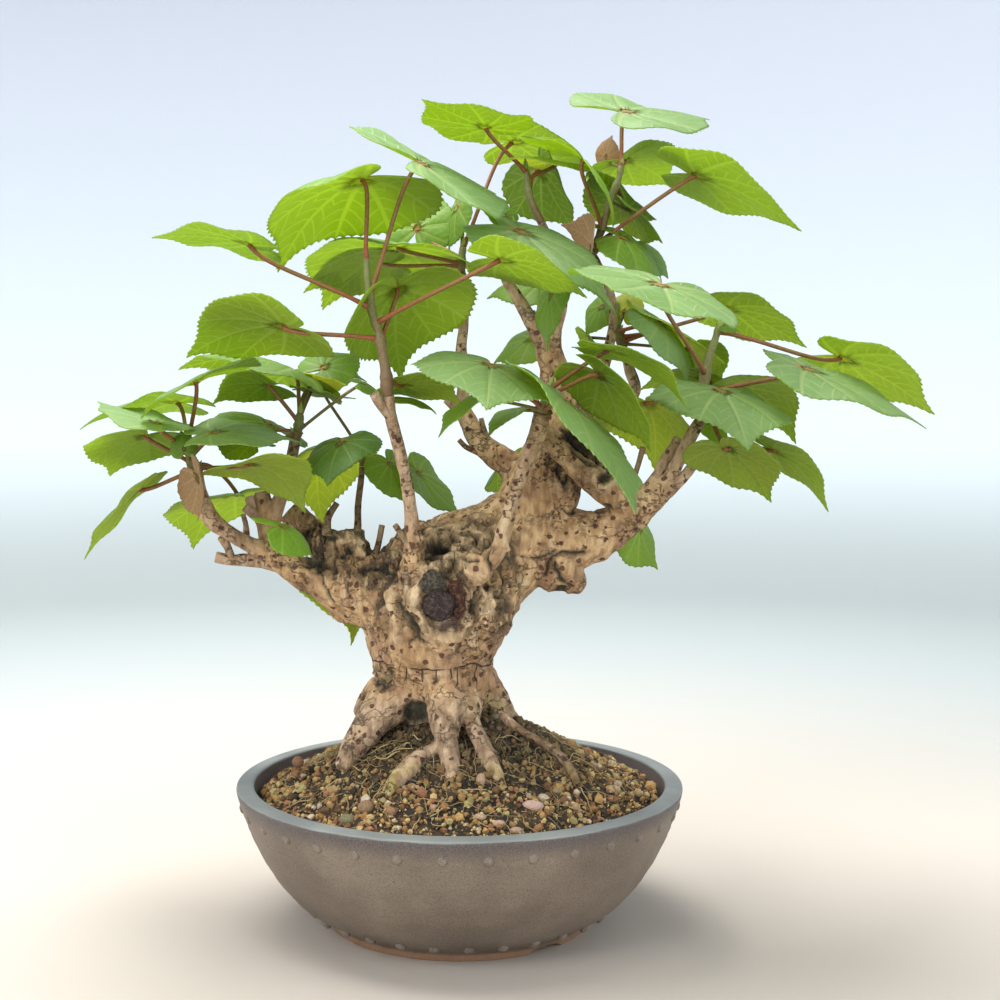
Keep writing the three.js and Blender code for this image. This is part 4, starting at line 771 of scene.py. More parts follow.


# Features of the trunk in the front view, in px. First patches, as middle and half axes: the old wound's
# disc of dead wood and the dome above it, the rotten part beside it and the lobe below, the hollow over the
# wound, the socket under the right fork, a knot and small holes, wet moss on a root, and the craggy parts.
# The hollow, the socket, the knot and the holes are painted dark as shade, and the last hole is a painted
# shadow between two roots.
DISC = ((439, 605), (16, 15))
DOME = ((433, 583), (13, 12))
ROT = ((457, 601), (11, 21))
LOBE = ((450, 627), (12, 7))
HOLLOW = ((437, 549), (17, 8))
SOCKET = ((579, 441), (15, 12))
# Holes are painted dark as shade; the last one is a painted shadow between two roots, over a small dent.
HOLES = (
    ((604, 476), (6, 5)), ((352, 548), (6, 5)), ((345, 557), (4, 4)), ((329, 538), (8, 4)),
    ((560, 590), (9, 5)), ((416, 714), (13, 12)),
)
MOIST = ((490, 708), (24, 15))
CRAGS = (
    ((340, 552), (34, 26)), ((590, 458), (46, 36)), ((300, 522), (22, 18)), ((384, 676), (9, 14)),
    ((380, 577), (24, 13)),
)

# Then lines, as half width in px, how far they stand out or are sunk in mm, and their places.
ROLLS = [
    (5, 2.2, [(421, 627), (416, 612), (414, 595), (420, 581), (430, 569), (441, 560), (453, 556)]),
    (5, 2.4, [(453, 556), (463, 563), (471, 574), (480, 580), (490, 572)]),
    (5, 2.0, [(421, 628), (430, 637), (441, 641), (453, 638), (464, 631)]),
    (4, 2.4, [(462, 634), (468, 620), (466, 610), (469, 597), (473, 586)]),
    (4, 2.6, [(470, 640), (475, 626), (482, 611), (485, 597), (481, 584), (474, 580)]),
    (4, 2.0, [(486, 622), (491, 608), (489, 596), (494, 590)]),
    (5, 2.2, [(398, 640), (394, 620), (390, 603), (392, 588)]),
    (4, 1.8, [(409, 584), (408, 596), (412, 606)]),
    (4, 2.4, [(424, 540), (436, 536), (452, 537), (470, 543)]),
    (4, 2.4, [(432, 529), (448, 531), (466, 530), (486, 536)]),
    (4, 2.2, [(457, 549), (468, 545), (476, 551), (468, 556)]),
    (4, 1.8, [(505, 520), (500, 532), (506, 546)]),
    (4, 1.6, [(592, 470), (600, 466), (610, 470), (612, 480), (604, 486), (594, 482), (592, 474)]),
    (4, 1.6, [(337, 542), (350, 538), (361, 542), (366, 556)]),
]
# Crevices are also painted dark as shade in the bark's tint.
CREVICES = [
    (2.6, 3, [(400, 600), (403, 612), (408, 624), (416, 635)]),
    (2.6, 2.5, [(408, 602), (410, 613), (414, 622)]),
    (2.6, 2.8, [(383, 604), (386, 590), (393, 575), (400, 563)]),
    (2, 2.1, [(377, 612), (380, 598), (378, 588)]),
    (2.3, 3.4, [(476, 587), (475, 598), (472, 610)]),
    (2, 3.4, [(493, 607), (502, 606)]),
    (2.6, 2.8, [(490, 545), (489, 560), (495, 577)]),
    (2, 1.8, [(462, 562), (470, 563), (478, 561)]),
    (2.6, 3.9, [(436, 548), (445, 548), (452, 547)]),
    (2.6, 2.3, [(424, 558), (431, 560), (438, 558)]),
    (2, 2.1, [(422, 534), (430, 530), (440, 527)]),
    (2.6, 2.5, [(360, 570), (376, 567), (392, 572)]),
    (2, 1.8, [(408, 642), (416, 636), (422, 641)]),
    (2, 1.8, [(484, 586), (497, 585)]),
    (2, 2.5, [(545, 572), (552, 560), (566, 556), (585, 552)]),
    (2, 2.1, [(556, 566), (562, 578), (573, 588)]),
    (1.3, 1.4, [(283, 566), (310, 567), (320, 562)]),
    (1.6, 1.8, [(318, 567), (322, 585), (333, 603)]),
    (1.3, 1.4, [(352, 572), (347, 586), (350, 600)]),
    (1.6, 1.8, [(332, 541), (338, 556), (334, 572)]),
    (2, 2.3, [(563, 430), (574, 446), (588, 462), (604, 470)]),
    (1.6, 1.7, [(566, 512), (580, 508), (596, 512), (610, 508)]),
    (1.6, 1.6, [(520, 556), (540, 560), (556, 553)]),
]
# The cracks under the crease, each as its x and the y it ends at, and the crease itself.
SPLITS = [(388, 668), (404, 682), (423, 678), (436, 684), (449, 680), (456, 688), (478, 684)]
CREASE = [(376, 660), (383, 663), (404, 669), (420, 671), (436, 670), (461, 667), (500, 664)]

# Then borders, each from the px where it starts to the px where it is full: those of the craggy crown, of the
# gap and the pale rim at the disc, of the roots' paler, browner, dirty and mossy parts, and of young wood.
CROWN_BELOW = (652, 622)
CROWN_ABOVE = (500, 530)
CROWN_LEFT = (352, 385)
CROWN_RIGHT = (528, 505)
GAP_ABOVE = (575, 595)
RIM_ABOVE = (600, 612)
RIM_RIGHT = (456, 446)
ROOTS_PALE = (688, 712)
ROOTS_BROWN = (696, 716)
ROOTS_DIRTY = (690, 712)
ROOTS_MOSSY = (752, 785)
YOUNG_BELOW = (620, 560)

# The bark's colours, among them a painted highlight for raised lumps and painted shade for crevices and
# hollows, and those of the dead wood, dark and worn.
BARK_TAN = (0.66, 0.43, 0.225)
BARK_BROWN = (0.45, 0.27, 0.13)
# Painted highlight for the raised lumps.
BARK_HIGHLIGHT = (0.75, 0.52, 0.29)
BARK_RUST = (0.36, 0.20, 0.115)
BARK_STAIN = (0.19, 0.11, 0.060)
ROOT_TAN = (0.64, 0.46, 0.31)
ROOT_BROWN = (0.28, 0.18, 0.11)
ROOT_DIRT = (0.12, 0.085, 0.045)
ROOT_MOSS = (0.50, 0.40, 0.13)
WET_MOSS = (0.30, 0.24, 0.06)
YOUNG_BARK = (0.58, 0.41, 0.28)
TWIG_BROWN = (0.26, 0.17, 0.085)
CRAG_MOSS = (0.15, 0.125, 0.060)
CALLUS = (0.76, 0.56, 0.34)
RIM_PALE = (0.55, 0.42, 0.33)
# Painted shade: for crevices, pits and holes, and for the hollow and the socket.
CREVICE_SHADE = (0.035, 0.034, 0.020)
HOLLOW_SHADE = (0.022, 0.016, 0.012)
DOME_WOOD = ((0.030, 0.025, 0.018), (0.120, 0.100, 0.070))
ROT_WOOD = ((0.030, 0.012, 0.008), (0.130, 0.045, 0.024))
LOBE_WOOD = ((0.025, 0.015, 0.014), (0.080, 0.050, 0.046))
DISC_WOOD = ((0.022, 0.013, 0.012), (0.060, 0.036, 0.032))

# What wound_distances gives where the wound is out of sight.
OUT_OF_REACH = 9
# How far the outermost splits' strips reach beyond them, in px, and the picture's scale there.
SPLIT_MARGIN = 40
MM_PER_PX = 0.5
# Crevices between plates of bark are drawn out upwards.
PLATE_STRETCH = [1, 1, 0.42]


def swirl(points, size):
    """Three noises for each point, to shift it by."""
    return np.stack([noise(points + k * 0.37, size) for k in range(3)], axis=1)


def ellipse(px, py, shape):
    """Distance from the ellipse's middle in shares of its half axes."""
    (x, y), (wide, high) = shape
    return np.hypot((px - x) / wide, (py - y) / high)


def stroke(px, py, places):
    """Distance in px from a line through places: the least of the distances to its spans."""
    nearest = np.full(len(px), np.inf)
    for (x, y), (end_x, end_y) in zip(places, places[1:]):
        dx, dy = end_x - x, end_y - y
        t = np.clip(((px - x) * dx + (py - y) * dy) / (dx * dx + dy * dy), 0, 1)
        nearest = np.minimum(nearest, np.hypot(px - x - t * dx, py - y - t * dy))
    return nearest


def cracks(points):
    """Signed mm from the crease and from the nearest split under it, and 1 where that split reaches.

    The split's distance turns its sign at each split, so it has no jump halfway between two.
    """
    px, py = seen(points + 0.7 * MM * swirl(points, 3 * MM) + 1.2 * MM * swirl(points, 9 * MM))
    crease = np.interp(px, *np.transpose(CREASE))
    places, ends = np.transpose(SPLITS).astype(float)
    edges = np.concatenate([[places[0] - SPLIT_MARGIN], places, [places[-1] + SPLIT_MARGIN]])
    middles = (edges[1:] + edges[:-1]) / 2
    signed = np.diff(edges) / 2 * (-1.0) ** np.arange(len(middles))
    knots = np.concatenate([places, middles])
    order = np.argsort(knots)
    across = np.interp(px, knots[order], np.concatenate([np.zeros(len(places)), signed])[order])
    nearest = np.abs(px[:, None] - places).argmin(axis=1)
    reach = smooth(crease - 1, crease + 1, py) * smooth(ends[nearest] + 2, ends[nearest] - 2, py)
    return np.stack([(py - crease) * MM_PER_PX, across * MM_PER_PX, reach], axis=1)


def wound_distances(points, normals):
    """Distances from the middles of the disc, the dome and the rotten part in shares of their half axes."""
    px, py = seen(points)
    behind = OUT_OF_REACH * smooth(-0.1, 0.2, normals[:, 1])
    return np.stack([ellipse(px, py, shape) + behind for shape in (DISC, DOME, ROT)], axis=1)


def beside_lines(lines, px, py):
    """For each line, exp(-(distance / half width)^2), and how far it stands out or is sunk."""
    return [(np.exp(-((stroke(px, py, places) / wide) ** 2)), high) for wide, high, places in lines]


def ring(distance, at, width):
    """1 at one distance and less to both sides: exp(-((distance - at) / width)^2)."""
    return np.exp(-(((distance - at) / width) ** 2))


class BarkMap:
    """Where each feature of the bark lies on points of the wood, mostly as shares from 0 to 1.

    Where it is craggy, winding crevices cut it into plates. In front, rolls of callus wind round an old
    wound, whose dead wood is a disc, a dome, a rotten part and a lobe, with hollows between them.
    """

    def __init__(self, points, normals, girth):
        px, py = seen(points)
        ragged = seen(points + 2.2 * MM * swirl(points, 5 * MM))
        front = smooth(0.3, -0.3, normals[:, 1])
        self.points, self.girth, self.px, self.py, self.front = points, girth, px, py, front
        self.lumps = noise(points, 17 * MM)
        self.crumbs = noise(points, 2.4 * MM)
        self.drawn = (points + 2.2 * MM * swirl(points, 8 * MM)) * PLATE_STRETCH
        self.winding = ridges(self.drawn, 6.5 * MM)
        self.crevice = smooth(0.62, 0.97, self.winding)

        fray = 0.16 * noise(points + 0.4, 3.5 * MM)
        disc, dome, rot, lobe = (
            front * smooth(1.12, 0.90, ellipse(*ragged, shape) + fray) for shape in (DISC, DOME, ROT, LOBE)
        )
        self.disc = disc
        self.dome = dome * (1 - disc)
        self.rot = rot * (1 - disc)
        self.lobe = lobe * (1 - disc) * (1 - self.rot)
        self.wound = np.clip(disc + self.rot + self.lobe + self.dome, 0, 1)
        self.from_disc = ellipse(*ragged, DISC)

        rolls = beside_lines(ROLLS, *ragged)
        sunk = beside_lines(CREVICES, *ragged)
        self.roll = front * np.max([share * high for share, high in rolls], axis=0)
        self.pit = front * np.max([share * deep for share, deep in sunk], axis=0)
        self.rolled = front * np.max([share for share, _ in rolls], axis=0) * (1 - self.wound)
        pitted = front * np.max([share for share, _ in sunk], axis=0) * (1 - 0.6 * self.rolled)
        self.hollow = front * smooth(1.2, 0.5, ellipse(px, py, HOLLOW) + 0.4 * noise(points, 8 * MM))
        self.socket = front * smooth(1.2, 0.5, ellipse(px, py, SOCKET) + 0.3 * noise(points, 7 * MM))
        self.holes = front * np.max([smooth(1.3, 0.6, ellipse(*ragged, shape)) for shape in HOLES], axis=0)
        self.moist = smooth(1.4, 0.5, ellipse(*ragged, MOIST)) * smooth(-0.5, 0.4, noise(points, 4 * MM))

        patches = smooth(-0.45, 0.35, noise(points + 0.2, 24 * MM))
        crown = smooth(*CROWN_BELOW, py) * smooth(*CROWN_ABOVE, py)
        crown = crown * smooth(*CROWN_LEFT, px) * smooth(*CROWN_RIGHT, px)
        crags = sum(smooth(1.3, 0.8, ellipse(px, py, shape)) for shape in CRAGS)
        rough = np.clip((0.8 * crown + crags) * (0.4 + 0.6 * patches), 0, 1) * smooth(5 * MM, 9 * MM, girth)
        self.rough = rough * (1 - self.wound) * (1 - 0.7 * self.rolled)
        # Painted shade: crevices, pits, the hollow, the socket and the holes, to be darkened where shade
        # falls in them.
        sunken_shade = 1.1 * pitted * (1 - self.wound) + self.hollow + self.socket + 1.2 * self.holes
        self.dark = np.clip(self.rough * self.crevice + sunken_shade, 0, 1)


def bark_relief(at):
    """How far the bark stands out in mm.

    Lumps, wrinkles and grain that fade on thin wood, the plates' relief, and the rolls, less what is sunk.
    """
    stout = np.clip(at.girth / (14 * MM), 0.10, 1)
    grain = noise(at.points, 2.6 * MM)
    plain = 1.2 * at.lumps + 0.8 * noise(at.points, 6 * MM) + 0.4 * at.winding + 0.4 * grain
    craggy = 1.7 * noise(at.drawn + 1, 4 * MM) + grain - 2.8 * at.crevice
    crease = ring(at.py - np.interp(at.px, *np.transpose(CREASE)), 0, 5) * smooth(14 * MM, 20 * MM, at.girth)
    relief = stout * plain + at.rough * craggy + (at.roll - at.pit) * (1 - at.wound) - 0.7 * crease
    relief += 0.2 * at.disc + 1.3 * at.dome - 2.2 * at.rot - 1.2 * at.lobe
    relief -= 3.0 * at.hollow + 3.2 * at.socket + 2.0 * at.holes
    relief -= 1.2 * at.front * ring(at.from_disc, 1.06, 0.07) * smooth(*GAP_ABOVE, at.py)
    relief += (1.6 * at.rot + 0.5 * at.disc + 0.8 * at.dome + 0.7 * at.lobe) * at.crumbs
    return relief - at.dome * smooth(0.5, 0.95, at.winding)


def bark_tint(at):
    """The bark's colour: tan, with lumps paler as a painted highlight and darker stains, then each feature's
    colour by its share, and painted shade in crevices and hollows.
    """
    points, py = at.points, at.py
    tint = mixed(BARK_TAN, BARK_BROWN, smooth(-0.4, 0.6, noise(points, 15 * MM)))
    young = smooth(5.5 * MM, 2.6 * MM, at.girth) * smooth(*YOUNG_BELOW, py)
    for colour, share in (
        # Painted highlight: the lumps, which stand out, are made paler.
        (BARK_HIGHLIGHT, 0.6 * smooth(0.0, 0.8, at.lumps)),
        (BARK_RUST, 0.6 * smooth(0.10, 0.60, noise(points + 0.9, 9 * MM))),
        (BARK_STAIN, 0.55 * smooth(0.25, 0.75, noise(points, 3.5 * MM))),
        (ROOT_TAN, 0.75 * smooth(*ROOTS_PALE, py)),
        (ROOT_BROWN, 0.7 * smooth(*ROOTS_BROWN, py) * smooth(-0.1, 0.5, noise(points, 7 * MM))),
        (ROOT_DIRT, 0.4 * smooth(*ROOTS_DIRTY, py) * smooth(0.0, 0.5, at.crumbs)),
        (ROOT_MOSS, 0.8 * smooth(*ROOTS_MOSSY, py) * smooth(-0.3, 0.4, noise(points, 10 * MM))),
        (WET_MOSS, 0.55 * at.moist),
        (YOUNG_BARK, 0.75 * young),
        (TWIG_BROWN, 0.8 * smooth(2.4 * MM, 1.8 * MM, at.girth)),
        (CRAG_MOSS, 0.75 * at.rough * smooth(-0.1, 0.6, noise(points + 0.5, 11 * MM))),
        (CALLUS, 0.75 * at.rolled),
    ):
        tint = mixed(tint, colour, share)
    worn = smooth(-0.5, 0.6, at.crumbs + 0.5 * noise(points, 5 * MM))
    for share, (low, high) in (
        (at.dome, DOME_WOOD), (at.rot, ROT_WOOD), (at.lobe, LOBE_WOOD), (at.disc, DISC_WOOD),
    ):
        tint = mixed(tint, mixed(low, high, worn), 0.93 * share)
    rim = at.front * ring(at.from_disc, 0.98, 0.05) * smooth(*RIM_ABOVE, py) * smooth(*RIM_RIGHT, at.px)
    tint = mixed(tint, RIM_PALE, 0.8 * rim)
    # Painted shade: crevices, pits, the hollow, the socket and the holes are darkened.
    shade = mixed(CREVICE_SHADE, HOLLOW_SHADE, np.clip(at.hollow + at.socket, 0, 1))
    return mixed(tint, shade, 0.96 * at.dark)


def bark(points, normals, girth):
    """How far the bark stands out in metres, its tint, and how far it is clear, disc and craggy."""
    at = BarkMap(points, normals, girth)
    clear = np.clip(1 - at.wound - at.dark, 0, 1)
    return bark_relief(at) * MM, bark_tint(at), np.stack([clear, at.disc, at.rough], axis=1)


GRID_MARGIN = 45 * MM
TWIG_SIDES = 9


def wood():
    """The wood: the drawn limbs' field made a surface and given its bark, and its thin ends as tubes."""
    limbs = drawn_limbs()
    every = np.concatenate([path for path, _ in limbs])
    field = WoodField(every.min(axis=0) - GRID_MARGIN, every.max(axis=0) + GRID_MARGIN)
    thin = []
    for path, radii in limbs:
        stout = np.flatnonzero(radii >= THIN)
        last = stout[-1] + 1 if len(stout) else 0
        if last > 2:
            field.grow(path[:last], radii[:last])
        if last < len(path) - 1:
            thin.append((path[max(last - 3, 0):], radii[max(last - 3, 0):]))
    points, triangles, quads = field.surface()
    normals = vertex_normals(points, (triangles, quads))
    relief, tint, marks = bark(points, normals, field.at(field.girth, points))
    work = Patchwork()
    work.add(points + normals * relief[:, None], tint, marks)
    for corners in (triangles, quads):
        if len(corners):
            work.face(corners)
    for path, radii in thin:
        wobble = 1 + 0.09 * noise(path, 5 * MM)
        relief, tint, marks = bark(path, np.tile([0.0, 1.0, 0.0], (len(path), 1)), radii)
        add_tube(work, path, radii * wobble, TWIG_SIDES, tint, mark=marks)
    bark_mesh = work.piece("wood_bark", ["wood"], [bark_finish()]).data
    add_layer(bark_mesh, "lines", cracks(points), (1, 1, 0))
    add_layer(bark_mesh, "wound", wound_distances(points, normals), (OUT_OF_REACH,) * 3)
    return field


# Leaves and shoots

# Half the blade's outline: the angle from the tip at the joint, in degrees, and the reach in midrib lengths.
OUTLINE_TURNS = [0, 5, 11, 27, 47, 69, 90, 110, 131, 150, 164, 180]
OUTLINE_REACH = [1, 0.87, 0.8, 0.73, 0.665, 0.62, 0.595, 0.54, 0.45, 0.34, 0.2, 0.05]
# Rings from the joint out, as shares of the outline, and the margin's saw of four points to a tooth.
BLADE_RINGS = np.array([0.12, 0.26, 0.40, 0.54, 0.67, 0.79, 0.89, 0.96, 1.0])
SAW = [0.35, 1.0, 0.45, 0.0]
TEETH_PER_MM = 1.15
TEETH_LEAST = 14
TEETH_MOST = 72
TOOTH_DEPTH = 0.030
# Waves round a blade, as how many and how high in midrib lengths, and the most that a blade twists.
WAVES = ((4, 0.020), (7, 0.014))
CURL_MOST = 0.06
# The main veins' turns from the tip in radians, and how much they bend to it.
VEIN_TURNS = (0, 0.55, 1.15, 1.85, 2.6)
VEIN_BEND = 0.2
VEIN_DEPTH = 0.013
VEIN_WIDTH = 0.035
# A leaf shorter than this many mm has a thinner, greener stalk.
SMALL_LEAF = 30
STALK_SIDES = 8
# A stem leads straight out of its limb at first. It swells at each leaf: by how much, how wide, and at most.
STEM_LEAD = 2.5 * MM
STEM_STEPS = 7
STEM_SIDES = 10
SWELL = 0.28
SWELL_WIDTH = 0.22
SWELL_MOST = 0.4
# Buds, as length and radius.
END_BUD = (7 * MM, 1.3 * MM)
SIDE_BUD = (2.4 * MM, 0.75 * MM)
BUD_SIDES = 7


def hermite(x, xs, ys):
    """A smooth curve through xs, ys: cubics whose slopes at the points are those between their neighbours."""
    xs, ys = np.asarray(xs, float), np.asarray(ys, float)
    slopes = np.gradient(ys, xs)
    k = np.clip(np.searchsorted(xs, x, side="right") - 1, 0, len(xs) - 2)
    span = xs[k + 1] - xs[k]
    t = (x - xs[k]) / span
    rise = ys[k + 1] - ys[k]
    m0, m1 = slopes[k] * span, slopes[k + 1] * span
    return ys[k] + t * m0 + t * t * (3 * rise - 2 * m0 - m1) + t**3 * (m0 + m1 - 2 * rise)


def blade_frame(leaf):
    """The joint, the midrib's direction and length, the side and the upper face's direction of a leaf."""
    origin, flat = place([leaf["joint"], [*leaf["tip"], leaf["joint"][2]]])
    long = leaf["long"] * MM
    away = np.sqrt(max(long**2 - np.sum((origin - flat) ** 2), 0)) / MM
    along = place([*leaf["tip"], leaf["joint"][2] + leaf.get("lean", 1) * away])[0] - origin
    length = np.linalg.norm(along)
    along = along / length
    top = np.array([leaf.get("sway", 0), -leaf["show"], 1.0])
    top = unit(top - along * top.dot(along))
    return origin, along, np.cross(along, top), top, length


def outline_of(teeth):
    """Angles, reach and saw round a toothed margin, its points evenly spaced along the outline."""
    fine = np.linspace(0, 180, 721)
    reach = hermite(fine, OUTLINE_TURNS, OUTLINE_REACH)
    turn = np.radians(fine)
    steps = np.hypot(np.diff(reach * np.cos(turn)), np.diff(reach * np.sin(turn)))
    walked = np.concatenate([[0], np.cumsum(steps)]) / steps.sum()
    half = np.arange(2 * teeth + 1) / (2 * teeth)
    angle = np.interp(half, walked, turn)
    angle = np.concatenate([angle, -angle[-2:0:-1]])
    saw = np.tile(SAW, teeth)
    return angle, hermite(np.degrees(np.abs(angle)), OUTLINE_TURNS, OUTLINE_REACH), saw


def blade_sheet(leaf, rng):
    """Grids of u, v and rise in midrib lengths, over rings that are shares of the toothed outline.

    The rise is 4 arch u (1 - u) - fall v^2 + curl u v + waves, with quilted fields between the veins.
    """
    arch, fall = leaf.get("arch", 0.1), leaf.get("fall", 0.35)
    teeth = int(np.clip(round(leaf["long"] * TEETH_PER_MM), TEETH_LEAST, TEETH_MOST))
    angle, reach, saw = outline_of(teeth)
    shares = BLADE_RINGS[:, None]
    tooth = 1 + TOOTH_DEPTH * (saw - 0.5) * smooth(0.85, 1, shares)
    radius = shares * reach * tooth
    u, v = radius * np.cos(angle), radius * np.sin(angle)
    phases = rng.uniform(0, 2 * np.pi, 3)
    waves = sum(high * np.sin(count * angle + phase) for (count, high), phase in zip(WAVES, phases))
    turned = np.abs(angle) / (1 - VEIN_BEND * radius)
    gaps = np.min([np.abs(turned - a) for a in VEIN_TURNS], axis=0)
    across = radius * np.sin(np.minimum(gaps, 1.5))
    quilt = VEIN_DEPTH * (1 - np.exp(-((across / VEIN_WIDTH) ** 2))) * smooth(1, 0.7, shares)
    curl = rng.uniform(-CURL_MOST, CURL_MOST)
    rise = 4 * arch * u * (1 - u) - fall * v**2 + shares**2 * waves + quilt + curl * u * v
    return u, v, rise


def add_blade(work, leaf, rng):
    """A blade: joint + along u + side v + top rise, half the thickness to each side, and a rim between."""
    origin, along, side, top, length = blade_frame(leaf)
    u, v, rise = blade_sheet(leaf, rng)
    rows, columns = u.shape
    u, v, rise = (np.append(grid.ravel(), 0.0) for grid in (u, v, rise))
    across = v * leaf.get("wide", 1)
    middle = origin + length * (u[:, None] * along + across[:, None] * side + rise[:, None] * top)
    upper, under = (np.array(colour) for colour in TONES[leaf.get("tone", "green")])
    shade = rng.uniform(0.88, 1.12)
    material = MATERIAL_OF_TONE.get(leaf.get("tone"), 0)
    half = BLADE_THICKNESS / 2 * top
    pole = rows * columns
    count = pole + 1
    points = np.vstack([middle + half, middle - half])
    tint = np.vstack([np.tile(upper * shade, (count, 1)), np.tile(under * shade, (count, 1))])
    marks = np.stack([np.tile(u, 2), np.tile(v, 2), np.repeat([1.0, -1.0], count)], axis=1)
    work.add(points, tint, marks)
    quads = grid_quads(rows, columns)
    inner = np.arange(columns)
    work.face(quads[:, ::-1], material)
    work.face(fan(pole, inner)[:, ::-1], material)
    work.face(quads + count, material)
    work.face(fan(pole, inner) + count, material)
    edge = (rows - 1) * columns + inner
    after = np.roll(edge, -1)
    work.face(np.stack([edge, after, after + count, edge + count], axis=1)[:, ::-1], material, shaded=False)


def add_petiole(work, leaf, root, rng):
    """A leaf stalk: a cubic Bezier curve from its root to the joint, thicker at both ends."""
    origin, along, _, top, _ = blade_frame(leaf)
    reach = np.linalg.norm(origin - root)
    knee = origin - top * 0.16 * reach - along * 0.1 * reach
    swing = root + 0.4 * (origin - root) + np.array([0, 0, leaf.get("rise", 0.02) * reach])
    t = np.linspace(0, 1, 16)
    path = bezier([root, swing, knee, origin - top * 0.1 * MM], t)
    radius = PETIOLE_RADIUS * (0.8 if leaf["long"] < SMALL_LEAF else 1)
    radii = radius * (0.95 + 0.5 * np.exp(-((t / 0.07) ** 2)) + 0.35 * np.exp(-(((1 - t) / 0.06) ** 2)))
    red = rng.uniform(0.8, 1.0) if leaf["long"] >= SMALL_LEAF else rng.uniform(0.2, 0.7)
    tint = mixed(PETIOLE_GREEN, PETIOLE_RED, red * (0.85 + 0.15 * np.cos(6 * t)))
    add_tube(work, path, radii, STALK_SIDES, tint, material=STALK_MATERIAL)


def add_bud(work, base, along, long, radius, tint):
    """A bud: a spindle whose radius is sin(pi t^0.7), from its base to a point."""
    t = np.linspace(0.02, 0.98, 9)
    path = base + (t * long)[:, None] * along
    add_tube(work, path, radius * np.sin(np.pi * t**0.7), BUD_SIDES, tint, material=STALK_MATERIAL)


def leafy_shoot(name, shoot, rng):
    """A shoot: its stem on from the limb's end, and its leaves, each from its share of the stem."""
    base = place([row[:3] for row in LIMBS[shoot["on"]][-2:]])
    along = unit(base[1] - base[0])
    seat = base[1] + along * SEAT_GAP
    points = np.vstack([seat, seat + along * STEM_LEAD, place([row[:3] for row in shoot["stem"]])])
    end = LIMBS[shoot["on"]][-1][3]
    radii = np.array([end * 0.96, end * 0.92, *(row[3] for row in shoot["stem"])]) * MM
    spans = len(points) - 1
    t = np.linspace(0, 1, STEM_STEPS * spans + 1)
    path = catmull(points, t)
    girth = np.interp(t, np.linspace(0, 1, spans + 1), radii)
    stations = [(1 + leaf["at"] * (spans - 1)) / spans for leaf in shoot["leaves"]]
    swells = sum(SWELL * np.exp(-(((t - s) * spans / SWELL_WIDTH) ** 2)) for s in stations)
    tint = mixed(STEM_BROWN, STEM_GREEN, smooth(0.15, 0.9, t))
    work = Patchwork()
    radii = girth * (1 + np.minimum(swells, SWELL_MOST))
    add_tube(work, path, radii, STEM_SIDES, tint, material=STALK_MATERIAL)
    last = unit(path[-1] - path[-2])
    long, wide = END_BUD
    add_bud(work, path[-1] - last * 0.6 * MM, last, long, wide, BUD_GREEN)
    for leaf, station in zip(shoot["leaves"], stations):
        root = catmull(points, [station])[0]
        add_petiole(work, leaf, root, rng)
        add_blade(work, leaf, rng)
        out = unit(unit(blade_frame(leaf)[0] - root) + last)
        around = np.interp(station, t, girth)
        long, wide = SIDE_BUD
        add_bud(work, root + out * around * 0.5, out, around + long, wide, BUD_GREEN)
    work.piece(name + "_leaves", [name], leaf_finishes)


def lone_leaf(name, leaf, rng):
    """A leaf that stands straight on the wood."""
    work = Patchwork()
    add_petiole(work, leaf, place(leaf["root"])[0], rng)
    add_blade(work, leaf, rng)
    work.piece(name + "_blade", [name], leaf_finishes)


# The bowl and its soil

# The wall from foot to lip and over it, as radius and height in mm.
FOOT_RING = [[59.2, 0.6], [59.8, 0.0], [65.4, 0.0], [66.1, 0.6], [66.7, 3.6]]
OUTER_WALL = [[67.6, 4.6], [82, 13.6], [94.5, 28], [103, 43], [107.6, 54], [110.3, 61.6]]
LIP = [
    [111.5, 65.2], [111.9, 67.4], [111.6, 68.4], [110.7, 68.8], [107.4, 69.1], [104.3, 69.2],
    [103.3, 68.7], [103.0, 67.4],
]
INNER_WALL = [[101.6, 61], [95.5, 44.5], [87, 29.5], [74.5, 15.1], [56, 10.2], [30, 9]]
DRAIN_HOLE = [[9.8, 9.0], [9.2, 8.4], [9.2, 4.3], [9.8, 3.8], [56.5, 3.8], [58.6, 3.6]]
BOWL_STEPS = 256
WALL_ROWS = 110
# Rings of studs: how many, the first one's turn, and their radius, height and lean.
STUD_ROWS = ((34, -1.639, 109.0, 59.5, 0.24), (30, -1.515, 76.2, 9.4, 0.72))
STUD_DEPTH = 1.6
STUD_SIDES = 12
STUD_RISE = np.array([-0.7, -0.1, 0.25, 0.6, 0.95, 1.25])
# The arches in the foot.
ARCHES = 3
ARCH_WIDTH = 20
ARCH_HEIGHT = 2.4
FIRST_ARCH = -0.9


def lathe(profile, turns):
    """Rows of points: each radius and height of the profile, in mm, at every turn round the bowl's axis."""
    r, z = np.asarray(profile, float).T
    x = r[:, None] * np.cos(turns)
    y = r[:, None] * np.sin(turns)
    return np.stack([x, y, np.broadcast_to(z[:, None], x.shape)], axis=2)


def add_stud(work, turn, radius, height, lean):
    """A stud: a low dome, its rings at cos a of its radius and sin a of its height, sunk in the wall."""
    outward = np.array([np.cos(lean) * np.cos(turn), np.cos(lean) * np.sin(turn), -np.sin(lean)])
    seat = np.array([radius * np.cos(turn), radius * np.sin(turn), height])
    path = (seat + np.outer(STUD_DEPTH * np.sin(STUD_RISE), outward)) * MM + AXIS
    high = np.sin(STUD_RISE)[:, None] * [1, 0, 0]
    add_tube(work, path, STUD_RADIUS * np.cos(STUD_RISE) * MM, STUD_SIDES, (1, 1, 1), mark=high)


